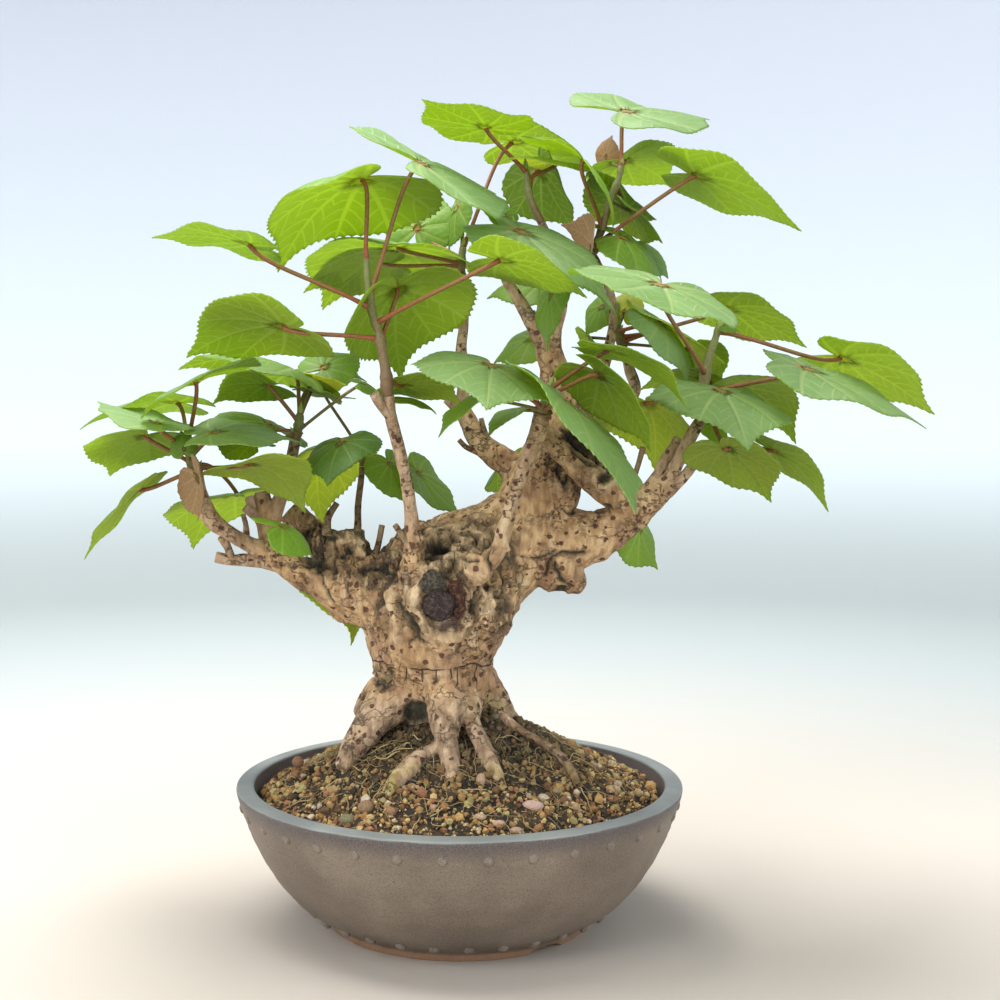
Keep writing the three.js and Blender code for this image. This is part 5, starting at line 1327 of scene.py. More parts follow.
def bowl():
    """The bowl: one closed profile turned round its axis, its foot arched in three places, and its studs.

    The wheel's marks are two sines of the height. An arch is half an ellipse, which lifts the foot's rings.
    """
    smooth_wall = catmull(OUTER_WALL + LIP + INNER_WALL, np.linspace(0, 1, WALL_ROWS))
    profile = np.vstack([FOOT_RING, smooth_wall, DRAIN_HOLE])
    turns = np.arange(BOWL_STEPS) / BOWL_STEPS * 2 * np.pi
    rings = lathe(profile, turns)
    r, z = profile.T
    wheel = 0.12 * np.sin(z * 1.9) + 0.10 * np.sin(z * 3.1 + 1)
    out = (r + wheel * smooth(8, 14, z) * smooth(62, 58, z))[:, None] / r[:, None]
    rings[..., :2] *= out[..., None]
    for i in range(ARCHES):
        turned = np.angle(np.exp(1j * (turns - FIRST_ARCH - i * 2 * np.pi / ARCHES)))
        share = np.clip(turned * FOOT_RADIUS / (ARCH_WIDTH / 2), -1, 1)
        lift = ARCH_HEIGHT * np.sqrt(1 - share**2)
        foot = (rings[..., 2] < ARCH_HEIGHT) & (rings[..., 2] < lift)
        rings[..., 2] = np.where(foot, lift, rings[..., 2])
    work = Patchwork()
    work.add(rings.reshape(-1, 3) * MM + AXIS, (1, 1, 1))
    quads = grid_quads(len(profile), BOWL_STEPS)
    first = np.arange(BOWL_STEPS)
    last = first + (len(profile) - 1) * BOWL_STEPS
    closing = np.stack([last, np.roll(last, -1), np.roll(first, -1), first], axis=1)
    work.face(np.vstack([quads, closing])[:, ::-1])
    for count, first_turn, radius, height, lean in STUD_ROWS:
        for i in range(count):
            add_stud(work, first_turn + i / count * 2 * np.pi, radius, height, lean)
    work.piece("bowl_glazed", ["bowl"], [stoneware_finish()])


def mound_top(r):
    """Height of the soil at a radius, in mm: the rim's level plus a cone, a little steeper at the trunk."""
    return SOIL_RIM + MOUND_HEIGHT * np.clip(1 - r / MOUND_RADIUS, 0, 1) ** 1.05


# The soil's rings and steps, its edge at the wall and where its rough top starts, in mm. Then its grains:
# their colours, how common each is, how many there are, the mean and spread of the logarithm of their size
# in mm, and the limits of that size. Then the colour of grains in painted shade near the trunk, those of bare
# soil, and its fine roots.
SOIL_RINGS = 70
SOIL_STEPS = 180
SOIL_EDGE = [100.2, 61.5]
ROUGH_ABOVE = 62
GRAIN_COLOURS = np.array([
    (0.46, 0.28, 0.10), (0.60, 0.43, 0.19), (0.30, 0.155, 0.055), (0.16, 0.085, 0.035),
    (0.045, 0.030, 0.017), (0.42, 0.36, 0.14), (0.42, 0.19, 0.09), (0.62, 0.50, 0.36),
])
GRAIN_SHARES = np.array([0.24, 0.13, 0.19, 0.15, 0.10, 0.08, 0.08, 0.03])
GRAIN_COUNT = 3800
GRAIN_SPREAD = (0.28, 0.34)
CRUMB_COUNT = 5500
CRUMB_SPREAD = (-0.30, 0.28)
GRIT_LIMITS = (0.45, 3.2)
# Painted shade for grains near the trunk.
SHADED_SOIL = (0.055, 0.045, 0.022)
SOIL_DARK = (0.020, 0.014, 0.009)
SOIL_BROWN = (0.075, 0.050, 0.024)
ROOTLET_COUNT = 420
ROOTLET_STEPS = 9
ROOTLET_STRAW = np.array([0.50, 0.37, 0.17])
SOIL_SEED = 11
GOLDEN = (1 + 5**0.5) / 2
# Pebbles in the front view, in px: middle and half axes, and colour.
PEBBLES = [
    ((533, 806), (11, 6), (0.62, 0.42, 0.34)), ((366, 808), (9, 8), (0.30, 0.19, 0.10)),
    ((347, 820), (9, 6), (0.22, 0.21, 0.11)), ((481, 781), (5, 8), (0.50, 0.33, 0.22)),
    ((434, 808), (5, 4), (0.46, 0.28, 0.18)), ((499, 824), (7, 4), (0.52, 0.36, 0.27)),
    ((480, 817), (7, 4), (0.50, 0.36, 0.22)), ((412, 787), (5, 4), (0.44, 0.30, 0.18)),
    ((576, 808), (5, 6), (0.48, 0.32, 0.20)), ((391, 812), (6, 5), (0.33, 0.18, 0.10)),
    ((516, 831), (7, 4), (0.46, 0.31, 0.22)), ((556, 791), (7, 4), (0.32, 0.24, 0.12)),
    ((612, 790), (9, 5), (0.52, 0.38, 0.20)), ((298, 762), (6, 6), (0.25, 0.13, 0.07)),
]
# Where a pebble is looked for along its line of sight: the depths in mm, and how many of them.
PEBBLE_DEPTHS = (-104, -20)
SIGHT_STEPS = 400
# The soil's side and underside, as radius and height in mm.
SOIL_INSIDE = [[0, 10.8], [24, 10.8], [26, 9.5], [73.5, 15.3], [86, 29.7], [94.5, 44.7], [99.4, 59]]


def icosahedron():
    """Its 12 corners on the unit sphere and its 20 faces."""
    a, b = np.array([1, GOLDEN]) / np.hypot(1, GOLDEN)
    corners = [(-a, b, 0), (a, b, 0), (-a, -b, 0), (a, -b, 0), (0, -a, b), (0, a, b)]
    corners += [(0, -a, -b), (0, a, -b), (b, 0, -a), (b, 0, a), (-b, 0, -a), (-b, 0, a)]
    faces = [(0, 11, 5), (0, 5, 1), (0, 1, 7), (0, 7, 10), (0, 10, 11), (1, 5, 9), (5, 11, 4), (11, 10, 2)]
    faces += [(10, 7, 6), (7, 1, 8), (3, 9, 4), (3, 4, 2), (3, 2, 6), (3, 6, 8), (3, 8, 9), (4, 9, 5)]
    faces += [(2, 4, 11), (6, 2, 10), (8, 6, 7), (9, 8, 1)]
    return np.array(corners), np.array(faces)


def octahedron():
    """Its 6 corners on the axes and its 8 faces."""
    corners = [(1, 0, 0), (-1, 0, 0), (0, 1, 0), (0, -1, 0), (0, 0, 1), (0, 0, -1)]
    faces = [(0, 2, 4), (2, 1, 4), (1, 3, 4), (3, 0, 4), (2, 0, 5), (1, 2, 5), (3, 1, 5), (0, 3, 5)]
    return np.array(corners, float), np.array(faces)


def rounder(corners, faces):
    """A solid with each face split in four at its sides' middles, and every corner on the unit sphere."""
    sides = np.sort(np.concatenate([faces[:, [0, 1]], faces[:, [1, 2]], faces[:, [2, 0]]]), axis=1)
    sides, which = np.unique(sides, axis=0, return_inverse=True)
    ab, bc, ca = which.reshape(3, -1) + len(corners)
    a, b, c = faces.T
    split = [[a, ab, ca], [ab, b, bc], [ca, bc, c], [ab, bc, ca]]
    middles = corners[sides].mean(axis=1)
    return unit(np.vstack([corners, middles])), np.concatenate([np.stack(f, axis=1) for f in split])


def turned_at_random(count, rng):
    """Rotation matrices from random unit quaternions."""
    w, x, y, z = unit(rng.normal(size=(count, 4))).T
    rows = [
        [1 - 2 * (y * y + z * z), 2 * (x * y - w * z), 2 * (x * z + w * y)],
        [2 * (x * y + w * z), 1 - 2 * (x * x + z * z), 2 * (y * z - w * x)],
        [2 * (x * z - w * y), 2 * (y * z + w * x), 1 - 2 * (x * x + y * y)],
    ]
    return np.moveaxis(np.array(rows), 2, 0)


def on_mound(x, y, lift):
    """Points in metres on the soil, from x and y in mm off the bowl's axis, raised by lift in mm."""
    return np.stack([x, y, mound_top(np.hypot(x, y)) + lift], axis=1) * MM + AXIS


def add_stones(work, centres, size, colours, solid, rng):
    """Stones: a solid's corners made uneven, each stretched by its size and turned at random."""
    corners, faces = solid
    count = len(centres)
    uneven = corners * rng.uniform(0.78, 1.15, (count, len(corners), 1))
    uneven = uneven * rng.uniform(0.65, 1.2, (count, 1, 3))
    turned = np.einsum("nij,nkj->nki", turned_at_random(count, rng), uneven)
    points = centres[:, None] + turned * size[:, None, None] * MM
    work.add(points.reshape(-1, 3), np.repeat(colours, len(corners), axis=0))
    work.face((faces[None] + len(corners) * np.arange(count)[:, None, None]).reshape(-1, 3), shaded=False)


def add_grit(work, field, rng, count, spread, solid):
    """Grit over the mound, half sunk, except where the wood stands, and darker near the trunk as painted
    shade.
    """
    reach = MOUND_RADIUS * np.sqrt(rng.uniform(0.02, 1, count))
    turn = rng.uniform(0, 2 * np.pi, count)
    size = np.clip(np.exp(rng.normal(*spread, count)), *GRIT_LIMITS)
    centres = on_mound(reach * np.cos(turn), reach * np.sin(turn), 0.3 * size)
    colours = GRAIN_COLOURS[rng.choice(len(GRAIN_COLOURS), count, p=GRAIN_SHARES)]
    # Painted shade: grains are darkened near the trunk.
    colours = mixed(colours, SHADED_SOIL, smooth(78, 40, reach) * 0.75)
    colours = colours * rng.uniform(0.7, 1.25, (count, 1))
    kept = field.at(field.distance, centres) > -0.4 * MM
    add_stones(work, centres[kept], size[kept], colours[kept], solid, rng)


def add_pebbles(work, rng):
    """The larger pebbles, each where its line of sight meets the mound: a smoothed icosahedron, squashed."""
    corners, faces = rounder(*icosahedron())
    depths = np.linspace(*PEBBLE_DEPTHS, SIGHT_STEPS)
    for (px, py), (wide, high), colour in PEBBLES:
        ray = place(np.stack([np.full(SIGHT_STEPS, px), np.full(SIGHT_STEPS, py), depths], axis=1))
        local = (ray - AXIS) / MM
        gap = np.abs(local[:, 2] - mound_top(np.hypot(local[:, 0], local[:, 1])))
        middle = ray[np.argmin(gap)]
        scale = (EYE_DISTANCE + local[np.argmin(gap), 1]) / FOCAL
        shape = corners * np.array([wide, 0.5 * (wide + high), high]) * scale * MM
        shape = shape * (1 + 0.10 * noise(shape + px, 4 * MM))[:, None]
        work.add(middle + shape, colour)
        work.face(faces)


def add_rootlets(work, rng):
    """Fine dead roots: walks over the mound whose heading bends at random, as thin tubes."""
    steps = np.arange(ROOTLET_STEPS)
    for _ in range(ROOTLET_COUNT):
        start = 30 + 62 * rng.beta(1.2, 1.5)
        turn = rng.uniform(-np.pi, np.pi)
        length = rng.uniform(7, 28)
        heading = turn + rng.normal(0, 1.1) + np.cumsum(rng.normal(0, 0.34, len(steps)))
        x = start * np.cos(turn) + np.cumsum(np.cos(heading)) * length / len(steps)
        y = start * np.sin(turn) + np.cumsum(np.sin(heading)) * length / len(steps)
        inside = np.hypot(x, y) < MOUND_RADIUS - 1
        radius = rng.uniform(0.18, 0.42) * MM
        lift = 0.8 + rng.uniform(0, 2.2) * np.sin(steps / steps[-1] * np.pi * rng.uniform(0.6, 2.2)) ** 2
        colour = ROOTLET_STRAW * rng.uniform(0.45, 1.25)
        if inside.sum() > 3:
            path = on_mound(x, y, lift)[inside]
            add_tube(work, path, np.linspace(radius, radius * 0.5, len(path)), 3, colour)


def soil(field):
    """The soil: a turned body that fills the bowl, rough on top, under its grains and fine roots."""
    rng = np.random.default_rng(SOIL_SEED)
    rings = np.linspace(100, 1, SOIL_RINGS)
    top = np.stack([rings, mound_top(rings)], axis=1)
    profile = np.vstack([SOIL_INSIDE[1:], [SOIL_EDGE], top])
    turns = np.arange(SOIL_STEPS) / SOIL_STEPS * 2 * np.pi
    points = lathe(profile, turns).reshape(-1, 3)
    rough = 0.8 * noise(points * MM, 9 * MM) + 0.7 * noise(points * MM, 3 * MM)
    points[:, 2] += np.where(points[:, 2] > ROUGH_ABOVE, rough, 0)
    poles = np.array([[0, 0, SOIL_INSIDE[0][1]], [0, 0, mound_top(0)]])
    work = Patchwork()
    base = np.vstack([points, poles]) * MM + AXIS
    work.add(base, mixed(SOIL_DARK, SOIL_BROWN, smooth(-0.4, 0.9, noise(base, 5 * MM))))
    first = np.arange(SOIL_STEPS)
    last = first + (len(profile) - 1) * SOIL_STEPS
    work.face(grid_quads(len(profile), SOIL_STEPS)[:, ::-1])
    work.face(fan(len(points), first[::-1]))
    work.face(fan(len(points) + 1, last))
    add_grit(work, field, rng, CRUMB_COUNT, CRUMB_SPREAD, octahedron())
    add_grit(work, field, rng, GRAIN_COUNT, GRAIN_SPREAD, icosahedron())
    add_pebbles(work, rng)
    add_rootlets(work, rng)
    work.piece("soil_grains", ["soil"], [soil_finish()])


# Finishes


class Value:
    """What a socket carries over a surface. Arithmetic on it adds Math nodes."""

    def __init__(self, finish, socket):
        self.finish = finish
        self.socket = socket

    def math(self, operation, *others):
        """A Math node of this and other values or numbers."""
        return self.finish.node("Math", {"operation": operation}, dict(enumerate((self, *others))))

    def __add__(self, other):
        return self.math("ADD", other)

    def __mul__(self, other):
        return self.math("MULTIPLY", other)

    def __sub__(self, other):
        return self.math("SUBTRACT", other)

    def __truediv__(self, other):
        return self.math("DIVIDE", other)

    def __rsub__(self, other):
        return self.finish.node("Math", {"operation": "SUBTRACT"}, {0: other, 1: self})

    def __rtruediv__(self, other):
        return self.finish.node("Math", {"operation": "DIVIDE"}, {0: other, 1: self})

    __radd__ = __add__
    __rmul__ = __mul__

    def __abs__(self):
        return self.math("ABSOLUTE")

    def eased(self, start, end):
        """0 at start and 1 at end, eased between and held beyond."""
        inputs = {"Value": self, "From Min": start, "From Max": end}
        return self.finish.node("MapRange", {"interpolation_type": "SMOOTHSTEP"}, inputs)


class Finish:
    """A material and its node tree."""

    def __init__(self, name):
        self.material = bpy.data.materials.new(name)
        self.material.use_nodes = True
        self.tree = self.material.node_tree
        self.tree.nodes.clear()

    def node(self, kind, settings=None, inputs=None, output=0):
        """Adds a node, applies its settings, gives its sockets values or links, and returns one output."""
        made = self.tree.nodes.new("ShaderNode" + kind)
        for setting, value in (settings or {}).items():
            setattr(made, setting, value)
        for socket, value in (inputs or {}).items():
            if isinstance(value, Value):
                self.tree.links.new(value.socket, made.inputs[socket])
            else:
                made.inputs[socket].default_value = value
        return Value(self, made.outputs[output])

    def mark(self, name):
        """The three numbers of a vector attribute."""
        vector = self.node("Attribute", {"attribute_name": name}, output="Vector")
        return [self.node("SeparateXYZ", inputs={0: vector}, output=k) for k in range(3)]

    def colour(self, name):
        """A vector attribute read as a colour."""
        return self.node("Attribute", {"attribute_name": name}, output="Color")

    def spot(self, scale=(1, 1, 1)):
        """The place on the piece in metres, with each axis scaled."""
        here = self.node("TexCoord", output="Object")
        return self.node("Mapping", inputs={"Vector": here, "Scale": scale})

    def noise(self, scale, detail=3.0, where=None, output=0):
        """Noise of a scale per metre: its value, or as output 1 three of them."""
        inputs = {"Vector": where or self.spot(), "Scale": scale, "Detail": detail}
        return self.node("TexNoise", inputs=inputs, output=output)

    def mix(self, factor, a, b, way="MIX"):
        """Colour a towards colour b."""
        a, b = ((*c, 1) if isinstance(c, tuple) else c for c in (a, b))
        return self.node("Mix", {"data_type": "RGBA", "blend_type": way}, {0: factor, 6: a, 7: b}, output=2)

    def bump(self, height, distance, strength):
        """A normal that leans with the slope of a height, where 1 stands for a distance in metres."""
        return self.node("Bump", inputs={"Height": height, "Distance": distance, "Strength": strength})

    def surface(self, colour, roughness, height, distance, strength=1.0):
        """The principled shader with a bumped normal, as a shader output."""
        normal = self.bump(height, distance, strength)
        inputs = {"Base Color": colour, "Roughness": roughness, "Normal": normal}
        return self.node("BsdfPrincipled", inputs=inputs, output="BSDF")

    def done(self, shader):
        """The material, with a shader as its surface."""
        out = self.tree.nodes.new("ShaderNodeOutputMaterial")
        self.tree.links.new(shader.socket, out.inputs["Surface"])
        return self.material


# Bark in its finish: its fibres and patches, its pits, the painted shade in its cracks and in the gap round
# the disc, and the dead wood, dark and worn.
FIBRE_SHADE = (0.56, 0.48, 0.40)
FIBRE_PALE = (0.80, 0.64, 0.46)
PATCH_SHADE = (0.62, 0.56, 0.50)
CORK_PIT = (0.115, 0.038, 0.024)
# Painted shade in cracks.
CRACK_SHADE = (0.045, 0.028, 0.018)
DOME_WORN = ((0.030, 0.024, 0.018), (0.13, 0.105, 0.075))
ROT_WORN = ((0.022, 0.010, 0.007), (0.16, 0.060, 0.032))
DISC_WORN = ((0.022, 0.013, 0.012), (0.062, 0.036, 0.031))
DISC_VEIN = (0.20, 0.13, 0.11)
# Painted shade in the gap round the disc.
DISC_GAP_SHADE = (0.012, 0.008, 0.006)


def corky_pits(f, where, patches):
    """Large and small pits, 1 near the middles of Voronoi cells, each kind only in some patches."""
    large = f.node("TexVoronoi", inputs={"Vector": where, "Scale": 165.0}).eased(0.255, 0.18)
    small = f.node("TexVoronoi", inputs={"Vector": where, "Scale": 300.0}).eased(0.24, 0.14)
    return (large * patches.eased(0.28, 0.38)).math("MAXIMUM", small * patches.eased(0.48, 0.56))


def bark_lines(f, clear, rough, cells, patches):
    """Lines painted dark as shade: the crease, the splits under it, the gaps between cells of craggy bark,
    and fine folds.
    """
    below, across, reach = f.mark("lines")
    crease = abs(below).eased(0.45, 0.10) * clear * f.noise(90, 2.0).eased(0.30, 0.50)
    split = abs(across).eased(0.45, 0.10) * reach * clear
    gaps = cells.eased(0.24, 0.05) * rough * f.noise(120, 2.0).eased(0.35, 0.55)
    folds = abs(f.noise(130, 5.0, f.spot((1, 1, 1.5))) - 0.5).eased(0.030, 0.004) * clear
    folds = folds * (patches.eased(0.40, 0.60) * 0.7 + rough * 0.3)
    return crease.math("MAXIMUM", split).math("MAXIMUM", gaps).math("MAXIMUM", folds * 0.8)


def dead_wood(f):
    """The wound's disc, dome and rotten part with crisp torn edges, and the gap round the disc, painted dark
    as shade.
    """
    disc_at, dome_at, rot_at = f.mark("wound")
    torn = f.noise(420, 5.0) - 0.5
    disc_at = disc_at + torn * 0.35
    in_disc = disc_at.eased(1.03, 0.97)
    in_dome = (dome_at + torn * 0.7).eased(1.08, 0.98) * (1 - in_disc)
    in_rot = (rot_at + torn).eased(1.05, 0.95) * (1 - in_disc)
    edge = abs(disc_at - 1.04).eased(0.055, 0.02)
    return in_disc, in_dome, in_rot, edge


def bark_finish():
    """Bark: the painted tint, broken by fibres and dark corky pits, with the crease and its cracks drawn in
    as painted shade.

    Where it is craggy, long cells stand out, with the gaps between them painted dark as shade. The old
    wound's dead wood is drawn over its softer painted colours.
    """
    f = Finish("bark")
    clear, disc, rough = f.mark("marks")
    fibre = f.noise(330, 5.0, f.spot((1, 1, 0.35)))
    patches = f.noise(70, 3.0)
    shift = f.node("VectorMath", {"operation": "SCALE"}, {0: f.noise(500, 2.0, output=1), "Scale": 2.2 * MM})
    ragged = f.node("VectorMath", {"operation": "ADD"}, {0: f.spot(), 1: shift})
    pitted = corky_pits(f, ragged, patches) * clear
    drawn = f.node("VectorMath", {"operation": "MULTIPLY"}, {0: ragged, 1: (1.0, 1.0, 0.38)})
    cells = f.node("TexVoronoi", {"feature": "DISTANCE_TO_EDGE"}, {"Vector": drawn, "Scale": 210.0})
    lines = bark_lines(f, clear, rough, cells, patches)
    in_disc, in_dome, in_rot, edge = dead_wood(f)
    veined = abs(f.noise(240, 5.0) - 0.5).eased(0.03, 0.0)
    worn = f.noise(700, 4.0).eased(0.35, 0.65)

    colour = f.mix(fibre.eased(0.38, 0.66) * 0.75, f.colour("tint"), FIBRE_SHADE, "MULTIPLY")
    colour = f.mix(patches.eased(0.55, 0.75) * 0.35, colour, PATCH_SHADE, "MULTIPLY")
    colour = f.mix(fibre.eased(0.42, 0.25) * 0.35 * clear, colour, FIBRE_PALE)
    colour = f.mix(pitted * 0.92, colour, CORK_PIT)
    # Painted shade: the crease, splits, gaps and folds are darkened.
    colour = f.mix(lines * 0.9, colour, CRACK_SHADE)
    colour = f.mix(in_dome * 0.9, colour, f.mix(worn, *DOME_WORN))
    colour = f.mix(in_rot * 0.9, colour, f.mix(worn, *ROT_WORN))
    colour = f.mix(in_disc * 0.95, colour, f.mix(worn, *DISC_WORN))
    colour = f.mix(veined * in_disc * 0.5, colour, DISC_VEIN)
    # Painted shade: the gap round the disc is darkened.
    colour = f.mix(edge * 0.8, colour, DISC_GAP_SHADE)

    raised = worn * (in_disc + in_dome + in_rot) * 0.6 + fibre * 1.2 + f.noise(900, 4.0) * 0.6
    relief = raised + cells.eased(0.0, 0.5) * rough * 1.3 - edge * 1.5 - pitted * 0.9 - lines * 1.8
    return f.done(f.surface(colour, 0.85 - disc * 0.1, relief, 1.3 * MM))


def vein_pattern(f, u, v):
    """The blade's main veins, side veins and fine net, each 1 on a vein, and how far it is to the joint.

    Main veins fan out from the joint and bend to the tip. Side veins leave them aslant and bend the same way.
    """
    reach = (u * u + v * v).math("SQRT")
    turned = abs(v).math("ARCTAN2", u) / (1 - reach * VEIN_BEND)
    gap = abs(turned - VEIN_TURNS[0])
    for turn in VEIN_TURNS[1:]:
        gap = gap.math("MINIMUM", abs(turned - turn))
    across = reach * gap.math("SINE")
    along = reach * gap.math("COSINE")
    main = (across / (1.25 - reach)).eased(0.027, 0.013)
    chevron = ((along - across * (0.55 + across * 1.6)) * 8.5).math("FRACT")
    side = abs(chevron - 0.5).eased(0.11, 0.04) * across.eased(0.0, 0.02)
    where = f.node("CombineXYZ", inputs={0: u, 1: v})
    net = f.node("TexVoronoi", {"feature": "DISTANCE_TO_EDGE"}, {"Vector": where, "Scale": 24.0})
    fine = net.eased(0.07, 0.0)
    return main, side, fine, reach


# Leaves in their finish: mottling, pale veins, and the red where the stalk joins.
MOTTLE_SHADE = (0.66, 0.74, 0.60)
VEIN_LIFT = (1.5, 1.3, 1.5)
VEIN_PALE = (0.82, 0.80, 0.40)
JOINT_RED = (0.45, 0.13, 0.045)


def leaf_finish(name, through, share):
    """A blade: veined and mottled, with light coming through it in one plain colour."""
    f = Finish(name)
    u, v, face = f.mark("marks")
    main, side, fine, reach = vein_pattern(f, u, v)
    veins = main.math("MAXIMUM", side * 0.8).math("MAXIMUM", fine * 0.22)
    mottle = f.noise(60, 3.0)
    upper = face.eased(-0.2, 0.2)
    colour = f.mix(mottle.eased(0.35, 0.7) * 0.4, f.colour("tint"), MOTTLE_SHADE, "MULTIPLY")
    pale = f.mix(0.5, f.mix(1.0, f.colour("tint"), VEIN_LIFT, "MULTIPLY"), VEIN_PALE)
    colour = f.mix(veins * (0.95 - upper * 0.6), colour, pale)
    colour = f.mix(main.math("MAXIMUM", 0.5) * reach.eased(0.14, 0.02) * 0.75, colour, JOINT_RED)
    relief = veins * (0.5 - upper) + mottle * 0.3
    shader = f.surface(colour, 0.60 - upper * 0.17 + mottle * 0.08, relief, 0.6 * MM, 0.7)
    glow = f.node("BsdfTranslucent", inputs={"Color": (*through, 1)})
    return f.done(f.node("MixShader", inputs={0: veins * (1 - upper) * 0.3 + share, 1: shader, 2: glow}))


def stalk_finish():
    """Stems, stalks and buds: the painted tint with fine long streaks and pale dots."""
    f = Finish("stalk")
    streaks = f.noise(700, 3.0)
    dots = f.node("TexVoronoi", inputs={"Vector": f.spot(), "Scale": 620.0}).eased(0.25, 0.12)
    colour = f.mix(streaks.eased(0.4, 0.7) * 0.5, f.colour("tint"), (0.55, 0.55, 0.5), "MULTIPLY")
    colour = f.mix(dots * 0.25, colour, (0.45, 0.36, 0.22))
    return f.done(f.surface(colour, 0.5 + streaks * 0.2, streaks, 0.25 * MM, 0.5))


def soil_finish():
    """Grit: the painted tint of each grain, speckled and dusty."""
    f = Finish("grit")
    speckle = f.noise(1500, 4.0)
    dust = f.noise(420, 2.0)
    colour = f.mix(speckle.eased(0.35, 0.7) * 0.6, f.colour("tint"), (0.5, 0.46, 0.42), "MULTIPLY")
    colour = f.mix(dust.eased(0.55, 0.75) * 0.25, colour, (0.30, 0.22, 0.13))
    return f.done(f.surface(colour, 0.92, speckle, 0.4 * MM, 0.7))


# The bowl's glaze: its dark and pale clouds, flecks, specks and pale spots, the plum under the lip, the lip,
# the thin glaze on the studs and the bare clay. Then the heights where it changes, in mm.
GLAZE_CLOUDS = ((0.155, 0.118, 0.088), (0.245, 0.190, 0.142))
GLAZE_FLECK = (0.075, 0.062, 0.052)
GLAZE_SPECK = (0.055, 0.045, 0.038)
GLAZE_SPOT = (0.38, 0.32, 0.25)
PLUM_GLAZE = ((0.135, 0.112, 0.108), (0.050, 0.040, 0.044))
LIP_GLAZE = ((0.185, 0.200, 0.190), (0.265, 0.280, 0.262))
THIN_GLAZE = (0.36, 0.31, 0.26)
BARE_CLAY = ((0.30, 0.15, 0.085), (0.42, 0.25, 0.15))
LIP_FROM = (68.5, 69.1)
PLUM_FROM = (58.0, 68.5)
BARE_FROM = (4.6, 3.2)


def stoneware_finish():
    """Glazed stoneware: grey-brown with fine specks, plum under the lip, blue-grey on it, and a bare foot.

    The glaze is thin and pale on top of the studs.
    """
    f = Finish("stoneware")
    top = f.mark("marks")[0].eased(0.55, 0.95)
    height = f.node("SeparateXYZ", inputs={0: f.spot()}, output=2)
    wander = f.noise(45, 3.0) * (1.6 * MM)
    lip, under_lip, bare = (
        (height + wander).eased(start * MM, end * MM) for start, end in (LIP_FROM, PLUM_FROM, BARE_FROM)
    )
    band = under_lip * (1 - lip)
    lines = f.noise(14, 4.0, f.spot((1, 1, 30)))
    specks = f.noise(2400, 3.0)
    flecks = f.noise(1300, 3.0)
    clouds = f.noise(26, 4.0)
    body = f.mix(clouds.eased(0.3, 0.75), *GLAZE_CLOUDS)
    body = f.mix(flecks.eased(0.54, 0.68) * 0.6, body, GLAZE_FLECK)
    body = f.mix(specks.eased(0.56, 0.70) * 0.6, body, GLAZE_SPECK)
    body = f.mix(specks.eased(0.44, 0.34) * 0.4, body, GLAZE_SPOT)
    colour = f.mix(band * 0.9, body, f.mix(specks.eased(0.40, 0.62), *PLUM_GLAZE))
    colour = f.mix(lip, colour, f.mix(clouds.eased(0.35, 0.7), *LIP_GLAZE))
    colour = f.mix(top * specks.eased(0.6, 0.4) * 0.35, colour, THIN_GLAZE)
    colour = f.mix(bare, colour, f.mix(specks.eased(0.3, 0.7), *BARE_CLAY))
    relief = lines * 0.35 + specks * 0.3 + flecks * 0.3
    return f.done(f.surface(colour, 0.46 + specks * 0.14 + bare * 0.35, relief, 0.5 * MM, 0.5))


def netting_finish():
    """Moulded plastic net: near black, faintly scuffed."""
    f = Finish("netting")
    scuffs = f.noise(500, 3.0)
    colour = f.mix(scuffs.eased(0.4, 0.8), (0.012, 0.014, 0.011), (0.035, 0.038, 0.032))
    return f.done(f.surface(colour, 0.45 + scuffs * 0.2, scuffs, 0.2 * MM))


# The studio's paper: underfoot, further off, where it bends up, and high on the wall.
PAPER_NEAR = (0.50, 0.45, 0.39)
PAPER_FAR = (0.46, 0.50, 0.49)
PAPER_BEND = (0.75, 0.83, 0.85)
PAPER_HIGH = (0.69, 0.72, 0.80)


def studio_finish():
    """The studio's paper: cream underfoot, pale blue where floor turns to wall, and lilac above."""
    f = Finish("studio_paper")
    here = f.node("TexCoord", output="Object")
    x, y, z = (f.node("SeparateXYZ", inputs={0: here}, output=k) for k in range(3))
    away = (x * x + y * y).math("SQRT")
    colour = f.mix(away.eased(0.12, 0.95), PAPER_NEAR, PAPER_FAR)
    colour = f.mix(z.eased(0.0, 0.22), colour, PAPER_BEND)
    colour = f.mix(z.eased(0.15, 0.85), colour, PAPER_HIGH)
    inputs = {"Base Color": colour, "Roughness": 0.9, "Specular IOR Level": 0.1}
    return f.done(f.node("BsdfPrincipled", inputs=inputs, output="BSDF"))


# The studio

STUDIO_RADIUS = 1.9
STUDIO_BEND = 0.6
STUDIO_HEIGHT = 2.4
STUDIO_STEPS = 96
LIT_POINT = (0, 0, 0.2)


def studio():
    """A round floor that bends up into a wall: a turned profile of a line, a quarter circle and a line."""
    quarter = np.linspace(0, np.pi / 2, 17)
    bend_r = STUDIO_RADIUS - STUDIO_BEND + STUDIO_BEND * np.sin(quarter)
    bend_z = STUDIO_BEND - STUDIO_BEND * np.cos(quarter)
    bend = np.stack([bend_r, bend_z], axis=1)
    profile = np.vstack([[[0.001, 0], [0.6, 0]], bend, [[STUDIO_RADIUS, STUDIO_HEIGHT]]])
    turns = np.arange(STUDIO_STEPS) / STUDIO_STEPS * 2 * np.pi
    points = lathe(profile, turns).reshape(-1, 3)
    mesh = bpy.data.meshes.new("studio")
    quads = grid_quads(len(profile), STUDIO_STEPS)
    mesh.from_pydata(points.tolist(), [], quads.tolist())
    mesh.polygons.foreach_set("use_smooth", np.full(len(quads), True))
    mesh.materials.append(studio_finish())
    floor = bpy.data.objects.new("studio", mesh)
    bpy.context.scene.collection.objects.link(floor)


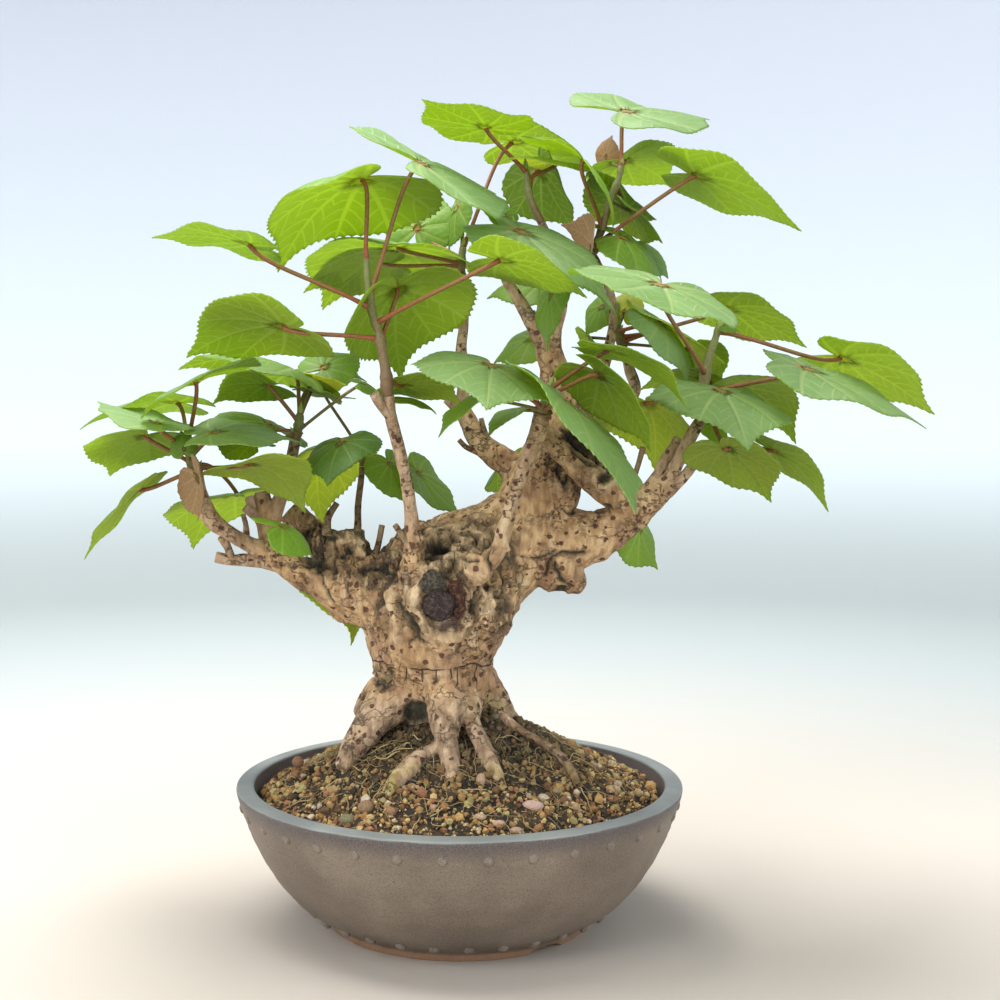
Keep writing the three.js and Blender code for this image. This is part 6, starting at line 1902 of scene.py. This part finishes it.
def area_light(name, spot, size, watts, colour):
    """A square lamp turned to the tree."""
    data = bpy.data.lights.new(name, "AREA")
    data.size = size
    data.energy = watts
    data.color = colour
    lamp = bpy.data.objects.new(name, data)
    lamp.location = spot
    towards = Vector(LIT_POINT) - Vector(spot)
    lamp.rotation_euler = towards.to_track_quat("-Z", "Y").to_euler()
    bpy.context.scene.collection.objects.link(lamp)


def lights():
    """Soft light from overhead and both sides of the front, and a pale sky, seen without a film curve."""
    bpy.context.scene.view_settings.view_transform = "Standard"
    area_light("overhead", (-0.25, 0.15, 1.45), size=1.0, watts=38, colour=(1.0, 0.99, 0.97))
    area_light("front_left", (-1.0, -1.1, 1.0), size=0.8, watts=15, colour=(1.0, 0.98, 0.95))
    area_light("front_right", (1.1, -0.9, 0.7), size=0.8, watts=6.5, colour=(0.97, 0.98, 1.0))
    world = bpy.data.worlds.new("soft_sky")
    bpy.context.scene.world = world
    world.use_nodes = True
    sky = world.node_tree.nodes["Background"]
    sky.inputs["Color"].default_value = (0.93, 0.96, 1.0, 1)
    sky.inputs["Strength"].default_value = 0.5


def camera():
    """The front view's camera: level, on the bowl's axis, lens and shift from the view's scale and middle."""
    data = bpy.data.cameras.new("front")
    data.sensor_width = 36
    data.lens = FOCAL / VIEW_SIZE * data.sensor_width
    data.shift_x = 0.5 - CENTRE / VIEW_SIZE
    data.shift_y = HORIZON / VIEW_SIZE - 0.5
    eye = bpy.data.objects.new("front", data)
    eye.location = AXIS + np.array([0, -EYE_DISTANCE, EYE_HEIGHT]) * MM
    eye.rotation_euler = (np.pi / 2, 0, 0)
    bpy.context.scene.collection.objects.link(eye)
    bpy.context.scene.camera = eye


# Making it all

leaf_finishes = [
    leaf_finish("leaf", through=(0.55, 0.70, 0.055), share=0.45),
    leaf_finish("young_leaf", through=(0.70, 0.77, 0.12), share=0.45),
    leaf_finish("dry_leaf", through=(0.50, 0.25, 0.10), share=0.25),
    stalk_finish(),
]
wood_field = wood()
for name, shoot in SHOOTS.items():
    leafy_shoot(name, shoot, np.random.default_rng(len(name) * 31 + len(shoot["leaves"])))
for name, leaf in LONE_LEAVES.items():
    lone_leaf(name, leaf, np.random.default_rng(len(name) * 17 + int(leaf["long"])))
soil(wood_field)
bowl()
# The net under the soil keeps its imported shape.
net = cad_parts["drain_net"]
net.data.materials.clear()
net.data.materials.append(netting_finish())
studio()
lights()
camera()
